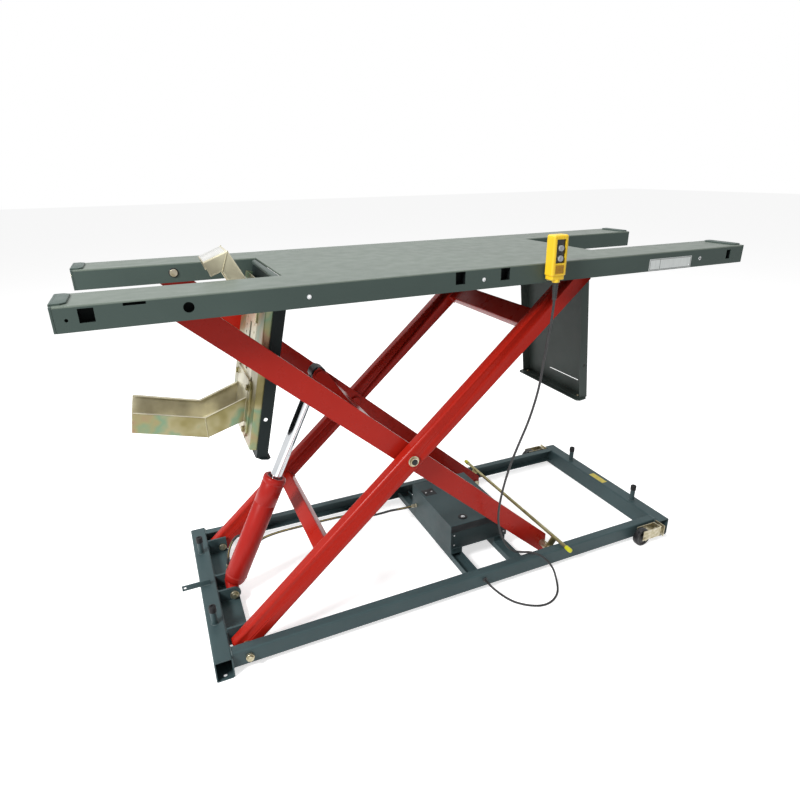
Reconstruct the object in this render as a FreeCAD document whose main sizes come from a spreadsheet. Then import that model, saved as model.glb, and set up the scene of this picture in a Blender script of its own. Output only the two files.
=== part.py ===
import FreeCAD, Part
import math
import os
import Sketcher

# Motorcycle lift, modelled raised as in the photograph. X runs along the platform, Y across it,
# Z up; the origin is on the floor under the middle of the platform. Lengths in millimetres,
# angles in degrees. The rest pose is the raised one.
SIZES = [
    # Platform: deck sheet, skirts, slots at both ends
    ("deck_length", 2200), ("deck_width", 720), ("deck_top", 1185), ("deck_sheet", 4),
    ("skirt_bottom", 1125), ("skirt_sheet", 3), ("slot_start", 545), ("slot_half_width", 195),
    ("slot_skirt_start", 525), ("cap_depth", 6), ("cap_tab_rise", 5), ("cap_tab_inset", 22),
    # Scissor pivots
    ("base_pivot_x", -789), ("base_pivot_height", 50), ("centre_pivot_x", -197),
    ("centre_pivot_height", 577), ("deck_pivot_x", -810), ("deck_pivot_height", 1156),
    ("lowered_pivot_height", 182), ("pivot_radius", 10), ("centre_pivot_radius", 12),
    ("running_gap", 0.05), ("side_gap", 0.5), ("bolt_head_radius", 13), ("bolt_head_height", 10),
    # Outer arms, box section
    ("arm_depth", 72), ("outer_arm_inner", 268), ("outer_arm_outer", 308), ("tube_wall", 4),
    ("arm_end_margin", 27), ("arm_nose_radius", 20), ("nose_run", 60),
    ("lower_tie_start", -443), ("lower_tie_end", -391), ("lower_tie_low", -34),
    ("lower_tie_high", 6), ("upper_tie_start", 583), ("upper_tie_end", 653),
    ("upper_tie_low", -36), ("upper_tie_high", 0), ("tie_wall", 3), ("boss_radius", 22),
    ("boss_height", 4), ("centre_head_radius", 14), ("centre_head_height", 8),
    # Inner arms, flat plate
    ("inner_arm_inner", 254), ("inner_arm_outer", 262), ("inner_end_x", 412),
    ("inner_end_height", 14), ("inner_top_margin", 7), ("inner_tie_start", -170),
    ("inner_tie_end", -110), ("inner_tie_half_depth", 20), ("flat_tie_start", 668),
    ("flat_tie_end", 718), ("flat_tie_low", -36), ("flat_tie_high", -16),
    # Ribs for the rod eye on the inner arms
    ("eye_along", -321.6), ("eye_rise", 35.5), ("rib_inner", 24), ("rib_outer", 32),
    ("rib_root_half", 18), ("rib_tip", -344), ("stub_radius", 12), ("stub_inner", 22.9),
    ("stub_head_radius", 16), ("stub_head_outer", 38),
    # Rollers and their axles
    ("lower_roller_radius", 23.5), ("lower_roller_inner", 333), ("lower_roller_outer", 355),
    ("upper_roller_radius", 20.6), ("upper_roller_inner", 316), ("upper_roller_outer", 346),
    ("axle_collar_radius", 14), ("axle_tip", 357.5), ("upper_axle_tip", 348.7),
    ("axle_root", 246),
    # Floor frame
    ("frame_height", 78), ("front_beam_start", -897), ("front_beam_end", -841),
    ("front_beam_half", 378), ("rear_beam_start", 897), ("rear_beam_end", 953),
    ("rear_beam_half", 383), ("beam_wall", 4), ("rail_flange_tip", 329), ("rail_outer", 362),
    ("rail_bottom", 22), ("rail_wall", 4), ("anchor_front_x", -869), ("anchor_rear_x", 925),
    ("anchor_side", 360), ("anchor_radius", 6), ("cross_rail_front", 24),
    ("cross_rail_rear", 222), ("cross_rail_width", 50), ("cross_rail_top", 48),
    ("pad_side", 180), ("tray_end", -771), ("gusset_top", 88), ("lug_inner", 42),
    ("lug_outer", 50), ("lug_radius", 24), ("foot_pin_radius", 12), ("foot_pin_half", 58),
    ("tow_lug_tip", -957), ("tow_lug_root", -860), ("tow_lug_height", 20),
    ("tow_lug_thickness", 5), ("tow_hole_radius", 5), ("post_radius", 10), ("post_top", 138),
    ("post_cap_radius", 12), ("post_cap_top", 150), ("post_front_x", -872),
    ("post_rear_x", 922), ("post_half", 205),
    # Power unit
    ("unit_start", 16), ("unit_end", 271), ("unit_near", -190), ("unit_far", 160),
    ("unit_top", 186), ("unit_sheet", 2), ("unit_floor", 2), ("motor_radius", 42),
    ("motor_x", 72), ("motor_near", -165), ("motor_far", -20), ("pump_far", 50),
    ("pump_half", 28), ("tank_start", 130), ("tank_end", 252), ("tank_near", -170),
    ("tank_far", 110), ("tank_top", 168), ("tank_sheet", 2), ("filler_radius", 14),
    ("filler_rise", 8), ("filler_x", 190), ("filler_y", -120),
    # Casters on the rear beam
    ("caster_y", 392), ("caster_axis_height", 52), ("caster_plate", 50),
    ("caster_plate_thickness", 4), ("caster_head_radius", 16), ("caster_head_end", 881.3),
    ("crown_end", 881), ("crown_start", 877), ("crown_radius", 20), ("king_radius", 6),
    ("king_tip", 868), ("king_nut_radius", 10), ("king_nut_end", 876.5), ("cheek_inner", 16),
    ("cheek_sheet", 3), ("cheek_reach", 22), ("caster_wheel_x", 800),
    ("caster_wheel_radius", 37.5), ("caster_wheel_half", 12.5), ("caster_axle_radius", 5),
    # Cylinder
    ("barrel_radius", 39), ("barrel_bore", 33), ("barrel_start", 15), ("barrel_floor", 40),
    ("gland_start", 434), ("gland_end", 453), ("gland_radius", 41), ("foot_radius", 22),
    ("foot_half", 38), ("rod_radius", 20), ("piston_radius", 32.9), ("piston_start", 412),
    ("piston_end", 424), ("rod_eye_radius", 26), ("rod_eye_half", 22.5),
    ("rod_eye_neck", 28), ("rod_eye_neck_radius", 22), ("rod_eye_bore", 12.5),
    # Safety bar
    ("safety_bar_x", 423), ("safety_bar_height", 90), ("safety_bar_radius", 7),
    ("safety_bar_half", 392), ("safety_cap_radius", 9), ("safety_cap_over", 11),
    ("bracket_inner", 300), ("bracket_outer", 306), ("bracket_radius", 15),
    # Roller tracks and pivot lugs under the deck
    ("track_start", 385), ("track_end", 900), ("track_inner", 312), ("track_outer", 353),
    ("track_wall", 4), ("track_keeper_inner", 330), ("track_depth", 50),
    ("lug_plate_inner", 268), ("lug_plate_outer", 276), ("lug_plate_half", 22),
    ("deck_pin_tip", 280), ("dome_radius", 12), ("dome_height", 5),
    # Flaps, drawn level about their hinges
    ("front_hinge_x", -552), ("rear_hinge_x", 543), ("hinge_height", 1172),
    ("front_hang", 77.7), ("rear_hang", 83.6), ("flap_length", 548), ("rear_flap_length", 556),
    ("flap_half", 188), ("flap_face", 4.6), ("flap_sheet", 3.5), ("flap_depth", 34),
    ("flap_root", 7.5), ("hinge_pin_radius", 4), ("hinge_head_radius", 7),
    ("hinge_head_inner", 176), ("hinge_head_outer", 183.5), ("flap_hole_radius", 6),
    ("flap_hole_run", 421.6), ("flap_hole_drop", 10),
    # Wheel chock on the front flap
    ("chock_rail_start", 30), ("chock_rail_end", 525), ("chock_rail_side", 180),
    ("chock_rail_face", 27), ("zinc_sheet", 4), ("rail_hole_radius", 5), ("rail_hole_y", 60),
    ("rail_hole_first", 160), ("rail_hole_pitch", 25), ("base_plate_gap", 0.2),
    ("base_plate_thickness", 6), ("base_plate_start", 330), ("base_plate_end", 512),
    ("base_plate_half", 125), ("base_bolt_y", 95), ("base_bolt_high", 352),
    ("base_bolt_low", 490), ("base_bolt_radius", 6), ("guide_slot_half", 6.2),
    ("guide_slot_reach", 34), ("bolt_cap_radius", 9), ("bolt_cap_height", 6),
    ("bolt_nut_radius", 11), ("bolt_nut_height", 9), ("lower_arm_half", 86),
    ("upper_arm_half", 72), ("upper_foot_end", 150), ("upper_foot_side", 90),
    # Hand control hung on the near skirt
    ("control_start", 219), ("control_end", 273), ("control_front", -404),
    ("control_back", -364), ("control_low", 1131), ("control_top", 1270),
    ("face_start", 229), ("face_end", 263), ("face_low", 1170), ("face_top", 1258),
    ("face_recess", 2), ("face_thickness", 3), ("face_pocket", 9.5), ("button_radius", 9),
    ("button_gap", 0.4), ("button_proud", 3), ("button_collar_radius", 10.4),
    ("button_collar", 1.7), ("button_collar_gap", 0.3), ("button_x", 246),
    ("button_up_height", 1232), ("button_down_height", 1202), ("hook_half", 13),
    ("hook_centre_x", 246), ("relief_x", 246), ("relief_y", -391),
    ("relief_top_radius", 9), ("relief_end_radius", 6), ("relief_bottom", 1075),
    # Cords
    ("cord_diameter", 8), ("hose_diameter", 10), ("grommet_radius", 9), ("grommet_depth", 5),
    ("grommet_x", 66), ("grommet_height", 50), ("fitting_half", 9), ("fitting_start", 58),
    ("fitting_end", 76), ("fitting_rise", 20),
    ("grommet_bore", 4.5), ("route_scale", 1),
    # Windows and holes of the outer skirts
    ("window_size", 33), ("window_front", -1045), ("window_low", 1144), ("pocket_low", 1145),
    ("pocket_front", -84), ("pocket_rear", 68), ("notch_start", 1016), ("notch_end", 1038),
    ("notch_low", 1142), ("notch_high", 1173), ("slit_start", -951), ("slit_end", -902),
    ("slit_low", 1174), ("access_radius", 13), ("end_hole_x", 1070), ("hole_front_x", -515),
    ("hole_middle_x", 10), ("hole_rear_x", 886), ("hole_height", 1153),
    ("small_hole_radius", 4),
    # Outlines of the chock arms, about the front flap hinge
    ("centre_slot_half", 12), ("lower_arm_root", 468), ("lower_arm_bend", 526),
    ("lower_arm_bend_height", 136), ("lower_arm_tip", 514), ("lower_arm_tip_height", 353),
    ("lower_lip_root", 388), ("lower_lip_bend", 461), ("lower_lip_bend_height", 151),
    ("lower_lip_tip", 452), ("upper_arm_root", 74), ("upper_ridge", 48),
    ("upper_ridge_height", 129), ("upper_tip", 5.6), ("upper_tip_height", 193),
    ("upper_lip_root", 98), ("upper_lip_root_height", 69), ("upper_lip_bend", 12),
    ("upper_lip_bend_height", 138), ("upper_lip_tip", 32), ("upper_lip_tip_height", 168),
    # Label plate
    ("label_gap", 255), ("label_length", 192), ("label_low", 1127), ("label_high", 1165),
    ("label_thickness", 0.6),
]

os.makedirs("parts", exist_ok=True)
doc = FreeCAD.newDocument("motorcycle_lift")
sheet = doc.addObject("Spreadsheet::Sheet", "dims")
for row, (alias, number) in enumerate(SIZES, start=1):
    sheet.set(f"A{row}", alias)
    sheet.set(f"B{row}", str(number))
    sheet.setAlias(f"B{row}", alias)
doc.recompute()


class Size:
    """A length of the sheet, or a sum made from them, with the text that binds it."""

    def __init__(self, value, text):
        self.value = float(value)
        self.text = text

    def __float__(self):
        return self.value

    def __add__(self, other):
        other = size(other)
        return Size(self.value + other.value, f"({self.text} + {other.text})")

    def __radd__(self, other):
        return size(other) + self

    def __sub__(self, other):
        other = size(other)
        return Size(self.value - other.value, f"({self.text} - {other.text})")

    def __rsub__(self, other):
        return size(other) - self

    def __mul__(self, other):
        other = size(other)
        return Size(self.value * other.value, f"({self.text} * {other.text})")

    def __rmul__(self, other):
        return size(other) * self

    def __truediv__(self, other):
        other = size(other)
        return Size(self.value / other.value, f"({self.text} / {other.text})")

    def __neg__(self):
        return size(0) - self


def size(value):
    if isinstance(value, Size):
        return value
    return Size(value, repr(float(value)))


class Sheet:
    """The sheet's lengths by name."""


d = Sheet()
for alias, number in SIZES:
    setattr(d, alias, Size(sheet.get(alias), f"dims.{alias}"))

count = {"n": 0}


def name_of(kind):
    count["n"] += 1
    return f"{kind}_{count['n']}"


def bind(obj, prop, value):
    obj.setExpression(prop, size(value).text)


def place(obj, x, y, z):
    obj.Placement.Base = FreeCAD.Vector(float(size(x)), float(size(y)), float(size(z)))
    bind(obj, "Placement.Base.x", x)
    bind(obj, "Placement.Base.y", y)
    bind(obj, "Placement.Base.z", z)


def block(x, y, z):
    """A box between the two ends given along each axis."""
    obj = doc.addObject("Part::Box", name_of("block"))
    for prop, (low, high) in (("Length", x), ("Width", y), ("Height", z)):
        bind(obj, prop, size(high) - low)
    place(obj, x[0], y[0], z[0])
    return obj


TURNS = {
    "X": FreeCAD.Rotation(FreeCAD.Vector(0, 1, 0), 90),
    "Y": FreeCAD.Rotation(FreeCAD.Vector(1, 0, 0), -90),
    "Z": FreeCAD.Rotation(),
}


def bar(axis, start, length, radius):
    """A round bar from start along the axis."""
    obj = doc.addObject("Part::Cylinder", name_of("bar"))
    bind(obj, "Radius", radius)
    bind(obj, "Height", length)
    obj.Placement = FreeCAD.Placement(FreeCAD.Vector(), TURNS[axis])
    place(obj, *start)
    return obj


def across(x, z, low, high, radius):
    """A round bar along Y between low and high."""
    return bar("Y", (x, low, z), size(high) - low, radius)


def fuse(pieces):
    if len(pieces) == 1:
        return pieces[0]
    obj = doc.addObject("Part::MultiFuse", name_of("joined"))
    obj.Shapes = pieces
    return obj


def welded(solids):
    """Solids of one sub-part that meet face to face along their welds."""
    obj = doc.addObject("Part::Compound", name_of("welded"))
    obj.Links = solids
    return obj


def cut(base, tools):
    obj = doc.addObject("Part::Cut", name_of("cut"))
    obj.Base = base
    obj.Tool = fuse(tools)
    return obj


def outline(points, low, high):
    """A plate cut to a flat outline in X and Z and padded along Y between low and high."""
    body = doc.addObject("PartDesign::Body", name_of("plate"))
    plane = [item for item in body.Origin.OriginFeatures if item.Role == "XZ_Plane"][0]
    sketch = body.newObject("Sketcher::SketchObject", name_of("outline"))
    sketch.AttachmentSupport = [(plane, "")]
    sketch.MapMode = "FlatFace"
    corners = [FreeCAD.Vector(float(size(a)), float(size(b)), 0) for a, b in points]
    total = len(corners)
    for index in range(total):
        sketch.addGeometry(Part.LineSegment(corners[index], corners[(index + 1) % total]), False)
    for index in range(total):
        sketch.addConstraint(Sketcher.Constraint("Coincident", index, 2, (index + 1) % total, 1))
    for index, (along, up) in enumerate(points):
        for kind, value in (("DistanceX", along), ("DistanceY", up)):
            number = sketch.addConstraint(
                Sketcher.Constraint(kind, -1, 1, index, 1, float(size(value))))
            title = f"corner{index}{kind[-1]}"
            sketch.renameConstraint(number, title)
            sketch.setExpression(f"Constraints.{title}", size(value).text)
    pad = body.newObject("PartDesign::Pad", name_of("pad"))
    pad.Profile = sketch
    bind(pad, "Length", size(high) - low)
    place(body, 0, high, 0)
    return body


PARTS = []


def part(label, pieces, tools=(), where=None):
    """Names a finished sub-part; where is the placement of one drawn in a frame of its own."""
    obj = fuse(list(pieces))
    if tools:
        obj = cut(obj, list(tools))
    obj.Label = label
    if where is not None:
        obj.Placement = where
    PARTS.append((label, obj))
    return obj


def both_spans(low, high):
    return (size(low), size(high)), (-size(high), -size(low))


# Kinematics: the two arm lines and the cylinder, worked out from the pivots
RISE = d.centre_pivot_height - d.base_pivot_height
RUN = d.centre_pivot_x - d.base_pivot_x
HIGH = d.deck_pivot_height - d.centre_pivot_height
WIDE = d.centre_pivot_x - d.deck_pivot_x
LOWER_HALF = Size(math.hypot(float(RISE), float(RUN)),
                  f"sqrt({RISE.text} * {RISE.text} + {RUN.text} * {RUN.text})")
SLOPE_SINE = RISE / LOWER_HALF
SLOPE_COSINE = RUN / LOWER_HALF
UPPER_ALONG = SLOPE_COSINE * WIDE + SLOPE_SINE * HIGH
UPPER_RISE = SLOPE_COSINE * HIGH - SLOPE_SINE * WIDE
ROLLER_X = 2 * d.centre_pivot_x - d.base_pivot_x
HALF_LENGTH = d.deck_length / 2
HALF_WIDTH = d.deck_width / 2
UNDERSIDE = d.deck_top - d.deck_sheet
ARM_SLOPE = math.degrees(math.atan2(float(RISE), float(RUN)))


def frame_at(x, z, degrees):
    """A frame at x, z whose X axis is turned down by the angle about Y."""
    return FreeCAD.Placement(
        FreeCAD.Vector(float(size(x)), 0, float(size(z))),
        FreeCAD.Rotation(FreeCAD.Vector(0, 1, 0), degrees))


OUTER = frame_at(d.centre_pivot_x, d.centre_pivot_height, -ARM_SLOPE)
INNER = frame_at(d.centre_pivot_x, d.centre_pivot_height, ARM_SLOPE)
FRONT_FLAP = frame_at(d.front_hinge_x, d.hinge_height, -float(d.front_hang))
REAR_FLAP = frame_at(d.rear_hinge_x, d.hinge_height, float(d.rear_hang))


def cylinder_line():
    """Length and slope of the cylinder between its foot pin and the rod eye."""
    eye = INNER.multVec(FreeCAD.Vector(float(d.eye_along), 0, float(d.eye_rise)))
    along = eye.x - float(d.base_pivot_x)
    up = eye.z - float(d.base_pivot_height)
    return math.hypot(along, up), math.degrees(math.atan2(up, along))


CYLINDER_LENGTH, CYLINDER_SLOPE = cylinder_line()
CYLINDER = frame_at(d.base_pivot_x, d.base_pivot_height, -CYLINDER_SLOPE)


# Floor frame
def beam(start, end, half, anchor_x):
    wall = d.beam_wall
    inside = block((start + wall, end - wall), (-half, half), (wall, d.frame_height - wall))
    anchors = [bar("Z", (anchor_x, y, 0), wall, d.anchor_radius)
               for y in (-d.anchor_side, d.anchor_side)]
    return cut(block((start, end), (-half, half), (0, d.frame_height)), [inside, *anchors])


def beams():
    """Box beams across both ends, with the flat tow lug on edge on the front one."""
    top = d.frame_height
    lug = block((d.tow_lug_tip, d.tow_lug_root), (0, d.tow_lug_thickness),
                (top, top + d.tow_lug_height))
    eye = across(d.tow_lug_tip + d.tow_lug_height / 2, top + d.tow_lug_height / 2,
                 0, d.tow_lug_thickness, d.tow_hole_radius)
    front = beam(d.front_beam_start, d.front_beam_end, d.front_beam_half, d.anchor_front_x)
    part("base_front_beam", [welded([front, cut(lug, [eye])])])
    part("base_rear_beam", [beam(d.rear_beam_start, d.rear_beam_end, d.rear_beam_half,
                                 d.anchor_rear_x)])


def side_rail(label, side):
    """A channel open to the inside: a web with the hole of the base pivot pin, two flanges."""
    wall = d.rail_wall
    flange = (d.rail_flange_tip, d.rail_outer - wall)
    web = (d.rail_outer - wall, d.rail_outer)
    if side < 0:
        flange = (-flange[1], -flange[0])
        web = (-web[1], -web[0])
    span = (d.front_beam_end, d.rear_beam_start)
    holes = [across(d.base_pivot_x, d.base_pivot_height, *web, d.pivot_radius)]
    if side < 0:
        holes.append(across(d.grommet_x, d.grommet_height, *web, d.grommet_bore))
    part(label, [welded([
        cut(block(span, web, (d.rail_bottom, d.frame_height)), holes),
        block(span, flange, (d.rail_bottom, d.rail_bottom + wall)),
        block(span, flange, (d.frame_height - wall, d.frame_height))])])


def cross_rails():
    """Two low channels between the rails, the front one open upwards and the rear one
    downwards, pads on them and the plate of the power unit."""
    pieces = []
    hollows = []
    wall = d.rail_wall
    inside = ((d.rail_bottom + wall, d.cross_rail_top), (d.rail_bottom, d.cross_rail_top - wall))
    for start, hollow in zip((d.cross_rail_front, d.cross_rail_rear), inside):
        end = start + d.cross_rail_width
        pieces.append(block((start, end), (-d.rail_flange_tip, d.rail_flange_tip),
                            (d.rail_bottom, d.cross_rail_top)))
        pieces.append(block((start, end), (-d.pad_side, d.pad_side),
                            (d.cross_rail_top, d.frame_height)))
        hollows.append(block((start + wall, end - wall),
                             (-d.rail_flange_tip, d.rail_flange_tip), hollow))
    edge = 2 * d.unit_sheet
    pieces.append(block((d.unit_start + edge, d.unit_end - edge),
                        (d.unit_near + edge, d.unit_far - edge),
                        (d.frame_height, d.frame_height + d.unit_floor)))
    part("base_cross_rails", pieces, hollows)


def foot_tray():
    """Tray, outer gussets and the two lugs that hold the cylinder foot."""
    low = d.rail_bottom
    tray_top = low + d.rail_wall
    span = (d.front_beam_end, d.tray_end)
    x, z = d.base_pivot_x, d.base_pivot_height
    pieces = [block(span, (-d.inner_arm_inner, d.inner_arm_inner), (low, tray_top))]
    tools = []
    for y in both_spans(d.inner_arm_inner, d.inner_arm_outer):
        pieces.append(block(span, y, (low, d.gusset_top)))
        tools.append(across(x, z, *y, d.pivot_radius))
    for y in both_spans(d.lug_inner, d.lug_outer):
        pieces.append(block((d.front_beam_end, x), y, (tray_top, z + d.lug_radius)))
        pieces.append(across(x, z, *y, d.lug_radius))
        tools.append(across(x, z, *y, d.foot_pin_radius))
    part("foot_tray", pieces, tools)


def rounds(x, z, spans):
    """Round steps along Y on both sides of the lift: low, high and radius of each."""
    pieces = []
    for low, high, radius in spans:
        for y in both_spans(low, high):
            pieces.append(across(x, z, *y, radius))
    return pieces


def pivot_pins():
    """Bolts of the outer arms with spacers and washers, and the pin of the cylinder foot."""
    x, z = d.base_pivot_x, d.base_pivot_height
    collar = d.axle_collar_radius
    pieces = rounds(x, z, [
        (d.inner_arm_inner - d.bolt_head_height, d.rail_outer, d.pivot_radius),
        (d.rail_outer, d.rail_outer + d.bolt_head_height, d.bolt_head_radius),
        (d.outer_arm_outer + d.side_gap, d.rail_outer - d.rail_wall, collar),
        (d.inner_arm_outer, d.outer_arm_inner - d.side_gap, collar),
        (d.inner_arm_inner - d.bolt_head_height, d.inner_arm_inner, collar)])
    pieces.append(across(x, z, -d.foot_pin_half, d.foot_pin_half, d.foot_pin_radius))
    pieces.append(across(x, z, -d.foot_pin_half - d.boss_height, -d.foot_pin_half,
                         d.stub_head_radius))
    part("base_pivot_pins", pieces)


def posts():
    """Four stop posts with caps, on which the lowered platform comes to rest."""
    pieces = []
    for x in (d.post_front_x, d.post_rear_x):
        for y in (-d.post_half, d.post_half):
            pieces.append(bar("Z", (x, y, d.frame_height), d.post_top - d.frame_height,
                              d.post_radius))
            pieces.append(bar("Z", (x, y, d.post_top), d.post_cap_top - d.post_top,
                              d.post_cap_radius))
    part("support_posts", pieces)


# Power unit
def power_unit():
    skin = d.unit_sheet
    floor = d.frame_height + d.unit_floor
    part("power_unit_cover",
         [block((d.unit_start, d.unit_end), (d.unit_near, d.unit_far),
                (d.frame_height, d.unit_top))],
         [block((d.unit_start + skin, d.unit_end - skin),
                (d.unit_near + skin, d.unit_far - skin), (d.frame_height, d.unit_top - skin))])
    centre = floor + d.motor_radius + skin
    reach = d.motor_radius / 2
    feet = [block((d.motor_x - reach, d.motor_x + reach), y, (floor, centre))
            for y in ((d.motor_near, d.motor_near + reach), (d.motor_far - reach, d.motor_far))]
    part("electric_motor", [across(d.motor_x, centre, d.motor_near, d.motor_far,
                                   d.motor_radius), *feet])
    half = d.pump_half
    part("gear_pump", [block((d.motor_x - half, d.motor_x + half), (d.motor_far, d.pump_far),
                             (centre - half, centre + half)),
                       block((d.motor_x - half, d.motor_x + half),
                             (d.motor_far + half, d.pump_far), (floor, centre - half))])
    wall = d.tank_sheet
    x, y, top = d.filler_x, d.filler_y, d.tank_top
    part("oil_tank",
         [block((d.tank_start, d.tank_end), (d.tank_near, d.tank_far), (floor, top)),
          bar("Z", (x, y, top), d.filler_rise, d.filler_radius)],
         [block((d.tank_start + wall, d.tank_end - wall),
                (d.tank_near + wall, d.tank_far - wall), (floor + wall, top - wall)),
          bar("Z", (x, y, top - wall), wall + d.filler_rise, d.filler_radius / 2)])


# Casters
def caster(side, end):
    y = side * d.caster_y
    z = d.caster_axis_height
    gap = d.running_gap
    centre = d.caster_wheel_radius
    reach = d.cheek_reach
    cheeks = [block((d.caster_wheel_x - reach / 2, d.crown_end), (y + low, y + high),
                    (z - reach, z + reach))
              for low, high in both_spans(d.cheek_inner, d.cheek_inner + d.cheek_sheet)]
    crown = block((d.crown_start, d.crown_end), (y - d.cheek_inner, y + d.cheek_inner),
                  (z - reach, z + reach))
    half = d.cheek_inner + 2 * d.cheek_sheet
    axle = across(d.caster_wheel_x, centre, y - half, y + half, d.caster_axle_radius)
    king = bar("X", (d.crown_start, y, z), d.crown_end - d.crown_start, d.king_radius + gap)
    part(f"caster_fork_{end}", [*cheeks, crown, axle], [king])
    hub = d.caster_wheel_half
    part(f"caster_wheel_{end}",
         [across(d.caster_wheel_x, centre, y - hub, y + hub, d.caster_wheel_radius)],
         [across(d.caster_wheel_x, centre, y - hub, y + hub, d.caster_axle_radius + gap)])


def caster_plates():
    """Plates on the rear beam with the king bolts that the forks turn on."""
    pieces = []
    half = d.caster_plate / 2
    face = d.rear_beam_start - d.caster_plate_thickness
    z = d.caster_axis_height
    for y in (-d.caster_y, d.caster_y):
        pieces.append(block((face, d.rear_beam_start), (y - half, y + half),
                            (z - half, z + half)))
        for start, end, radius in ((d.caster_head_end, face, d.caster_head_radius),
                                   (d.king_tip, d.caster_head_end, d.king_radius),
                                   (d.king_tip, d.king_nut_end, d.king_nut_radius)):
            pieces.append(bar("X", (start, y, z), end - start, radius))
    part("caster_plates", pieces)


# Outer arms, drawn about the centre pivot with X along the line of the arm
def outer_arm(label, side):
    low, high = d.outer_arm_inner, d.outer_arm_outer
    if side < 0:
        low, high = -high, -low
    half = d.arm_depth / 2
    wall = d.tube_wall
    start = -LOWER_HALF - d.arm_end_margin
    tube = block((start, UPPER_ALONG), (low, high), (-half, half))
    nose = across(UPPER_ALONG, UPPER_RISE, low, high, d.arm_nose_radius)
    cheek = block((UPPER_ALONG - d.nose_run, UPPER_ALONG), (low, high),
                  (UPPER_RISE, UPPER_RISE + d.arm_nose_radius))
    hollow = block((start, UPPER_ALONG - d.nose_run), (low + wall, high - wall),
                   (-half + wall, half - wall))
    bores = [across(-LOWER_HALF, 0, low, high, d.pivot_radius + d.running_gap),
             across(0, 0, low, high, d.centre_pivot_radius),
             across(UPPER_ALONG, UPPER_RISE, low, high, d.pivot_radius)]
    part(label, [tube, nose, cheek], [hollow, *bores], OUTER)


def tubes(label, half, where, sections):
    """Box tubes across the lift between its two arms, open at their ends."""
    wall = d.tie_wall
    pieces = []
    hollows = []
    for start, end, low, high in sections:
        pieces.append(block((start, end), (-half, half), (low, high)))
        hollows.append(block((start + wall, end - wall), (-half, half),
                             (low + wall, high - wall)))
    part(label, pieces, hollows, where)


def centre_pins():
    """Bolts of the centre pivot with boss rings, heads, washers and nuts."""
    outer = d.outer_arm_outer
    pin = d.centre_pivot_radius
    head = outer + d.boss_height
    part("centre_pivot_bolts", rounds(0, 0, [
        (d.inner_arm_inner - d.bolt_head_height, head, pin),
        (outer, head, d.boss_radius),
        (head, head + d.centre_head_height, d.centre_head_radius),
        (d.inner_arm_outer + d.side_gap, d.outer_arm_inner, d.boss_radius),
        (d.inner_arm_inner - d.bolt_head_height, d.inner_arm_inner - d.side_gap,
         d.boss_radius)]), where=OUTER)


def upper_axles():
    """Axles of the upper rollers through the noses of the outer arms, with end collars."""
    gap = d.side_gap
    collar = d.axle_collar_radius
    root = d.outer_arm_inner - d.tube_wall
    part("upper_roller_axles", rounds(UPPER_ALONG, UPPER_RISE, [
        (root, d.upper_axle_tip, d.pivot_radius),
        (root, d.outer_arm_inner, collar),
        (d.outer_arm_outer, d.upper_roller_inner - gap, collar),
        (d.upper_roller_outer + gap, d.upper_axle_tip, collar)]), where=OUTER)


def rollers():
    """Four rollers, each a ring with a bore that runs on its axle."""
    upper_x = 2 * d.centre_pivot_x - d.deck_pivot_x
    bore = d.pivot_radius + d.running_gap
    for end, index in (("far", 0), ("near", 1)):
        for level, x, z, low, high, radius in (
                ("upper", upper_x, d.deck_pivot_height, d.upper_roller_inner,
                 d.upper_roller_outer, d.upper_roller_radius),
                ("lower", ROLLER_X, d.base_pivot_height, d.lower_roller_inner,
                 d.lower_roller_outer, d.lower_roller_radius)):
            y = both_spans(low, high)[index]
            part(f"{level}_roller_{end}", [across(x, z, *y, radius)],
                 [across(x, z, *y, bore)])


# Inner arms, drawn about the centre pivot with X along the line to the lower rollers
def inner_arm(label, side):
    """A flat plate whose lower end is cut upright and parallel to the floor."""
    low, high = d.inner_arm_inner, d.inner_arm_outer
    if side < 0:
        low, high = -high, -low
    half = d.arm_depth / 2
    across_run = d.inner_end_x - d.centre_pivot_x
    down_run = d.centre_pivot_height - d.inner_end_height
    upright = (across_run - half * SLOPE_SINE) / SLOPE_COSINE
    level = (down_run - half * SLOPE_COSINE) / SLOPE_SINE
    corner = (SLOPE_COSINE * across_run + SLOPE_SINE * down_run,
              SLOPE_SINE * across_run - SLOPE_COSINE * down_run)
    end = -UPPER_ALONG - d.inner_top_margin
    plate = outline([(end, -half), (level, -half), corner, (upright, half), (end, half)],
                    low, high)
    disc = across(-UPPER_ALONG, UPPER_RISE, low, high, d.arm_nose_radius)
    gap = d.running_gap
    bores = [across(-UPPER_ALONG, UPPER_RISE, low, high, d.pivot_radius + gap),
             across(0, 0, low, high, d.centre_pivot_radius + gap),
             across(LOWER_HALF, 0, low, high, d.pivot_radius)]
    part(label, [plate, disc], bores, INNER)


def rod_ribs():
    """Two ribs welded to the cross tube, with the stub pins beside the rod eye."""
    root = d.inner_tie_start
    half = d.rib_root_half
    x, z = d.eye_along, d.eye_rise
    ends = [(root, -half), (root, half), (x + half, z + d.arm_nose_radius),
            (x - half, z + d.arm_nose_radius), (d.rib_tip, z),
            (x - half, z - d.arm_nose_radius), (root - 4 * half, -half)]
    pieces = [outline(ends, *y) for y in both_spans(d.rib_inner, d.rib_outer)]
    pieces += rounds(x, z, [(d.stub_inner, d.rib_inner, d.stub_radius),
                            (d.rib_outer, d.stub_head_outer, d.stub_head_radius)])
    part("rod_eye_ribs", pieces, where=INNER)


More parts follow.
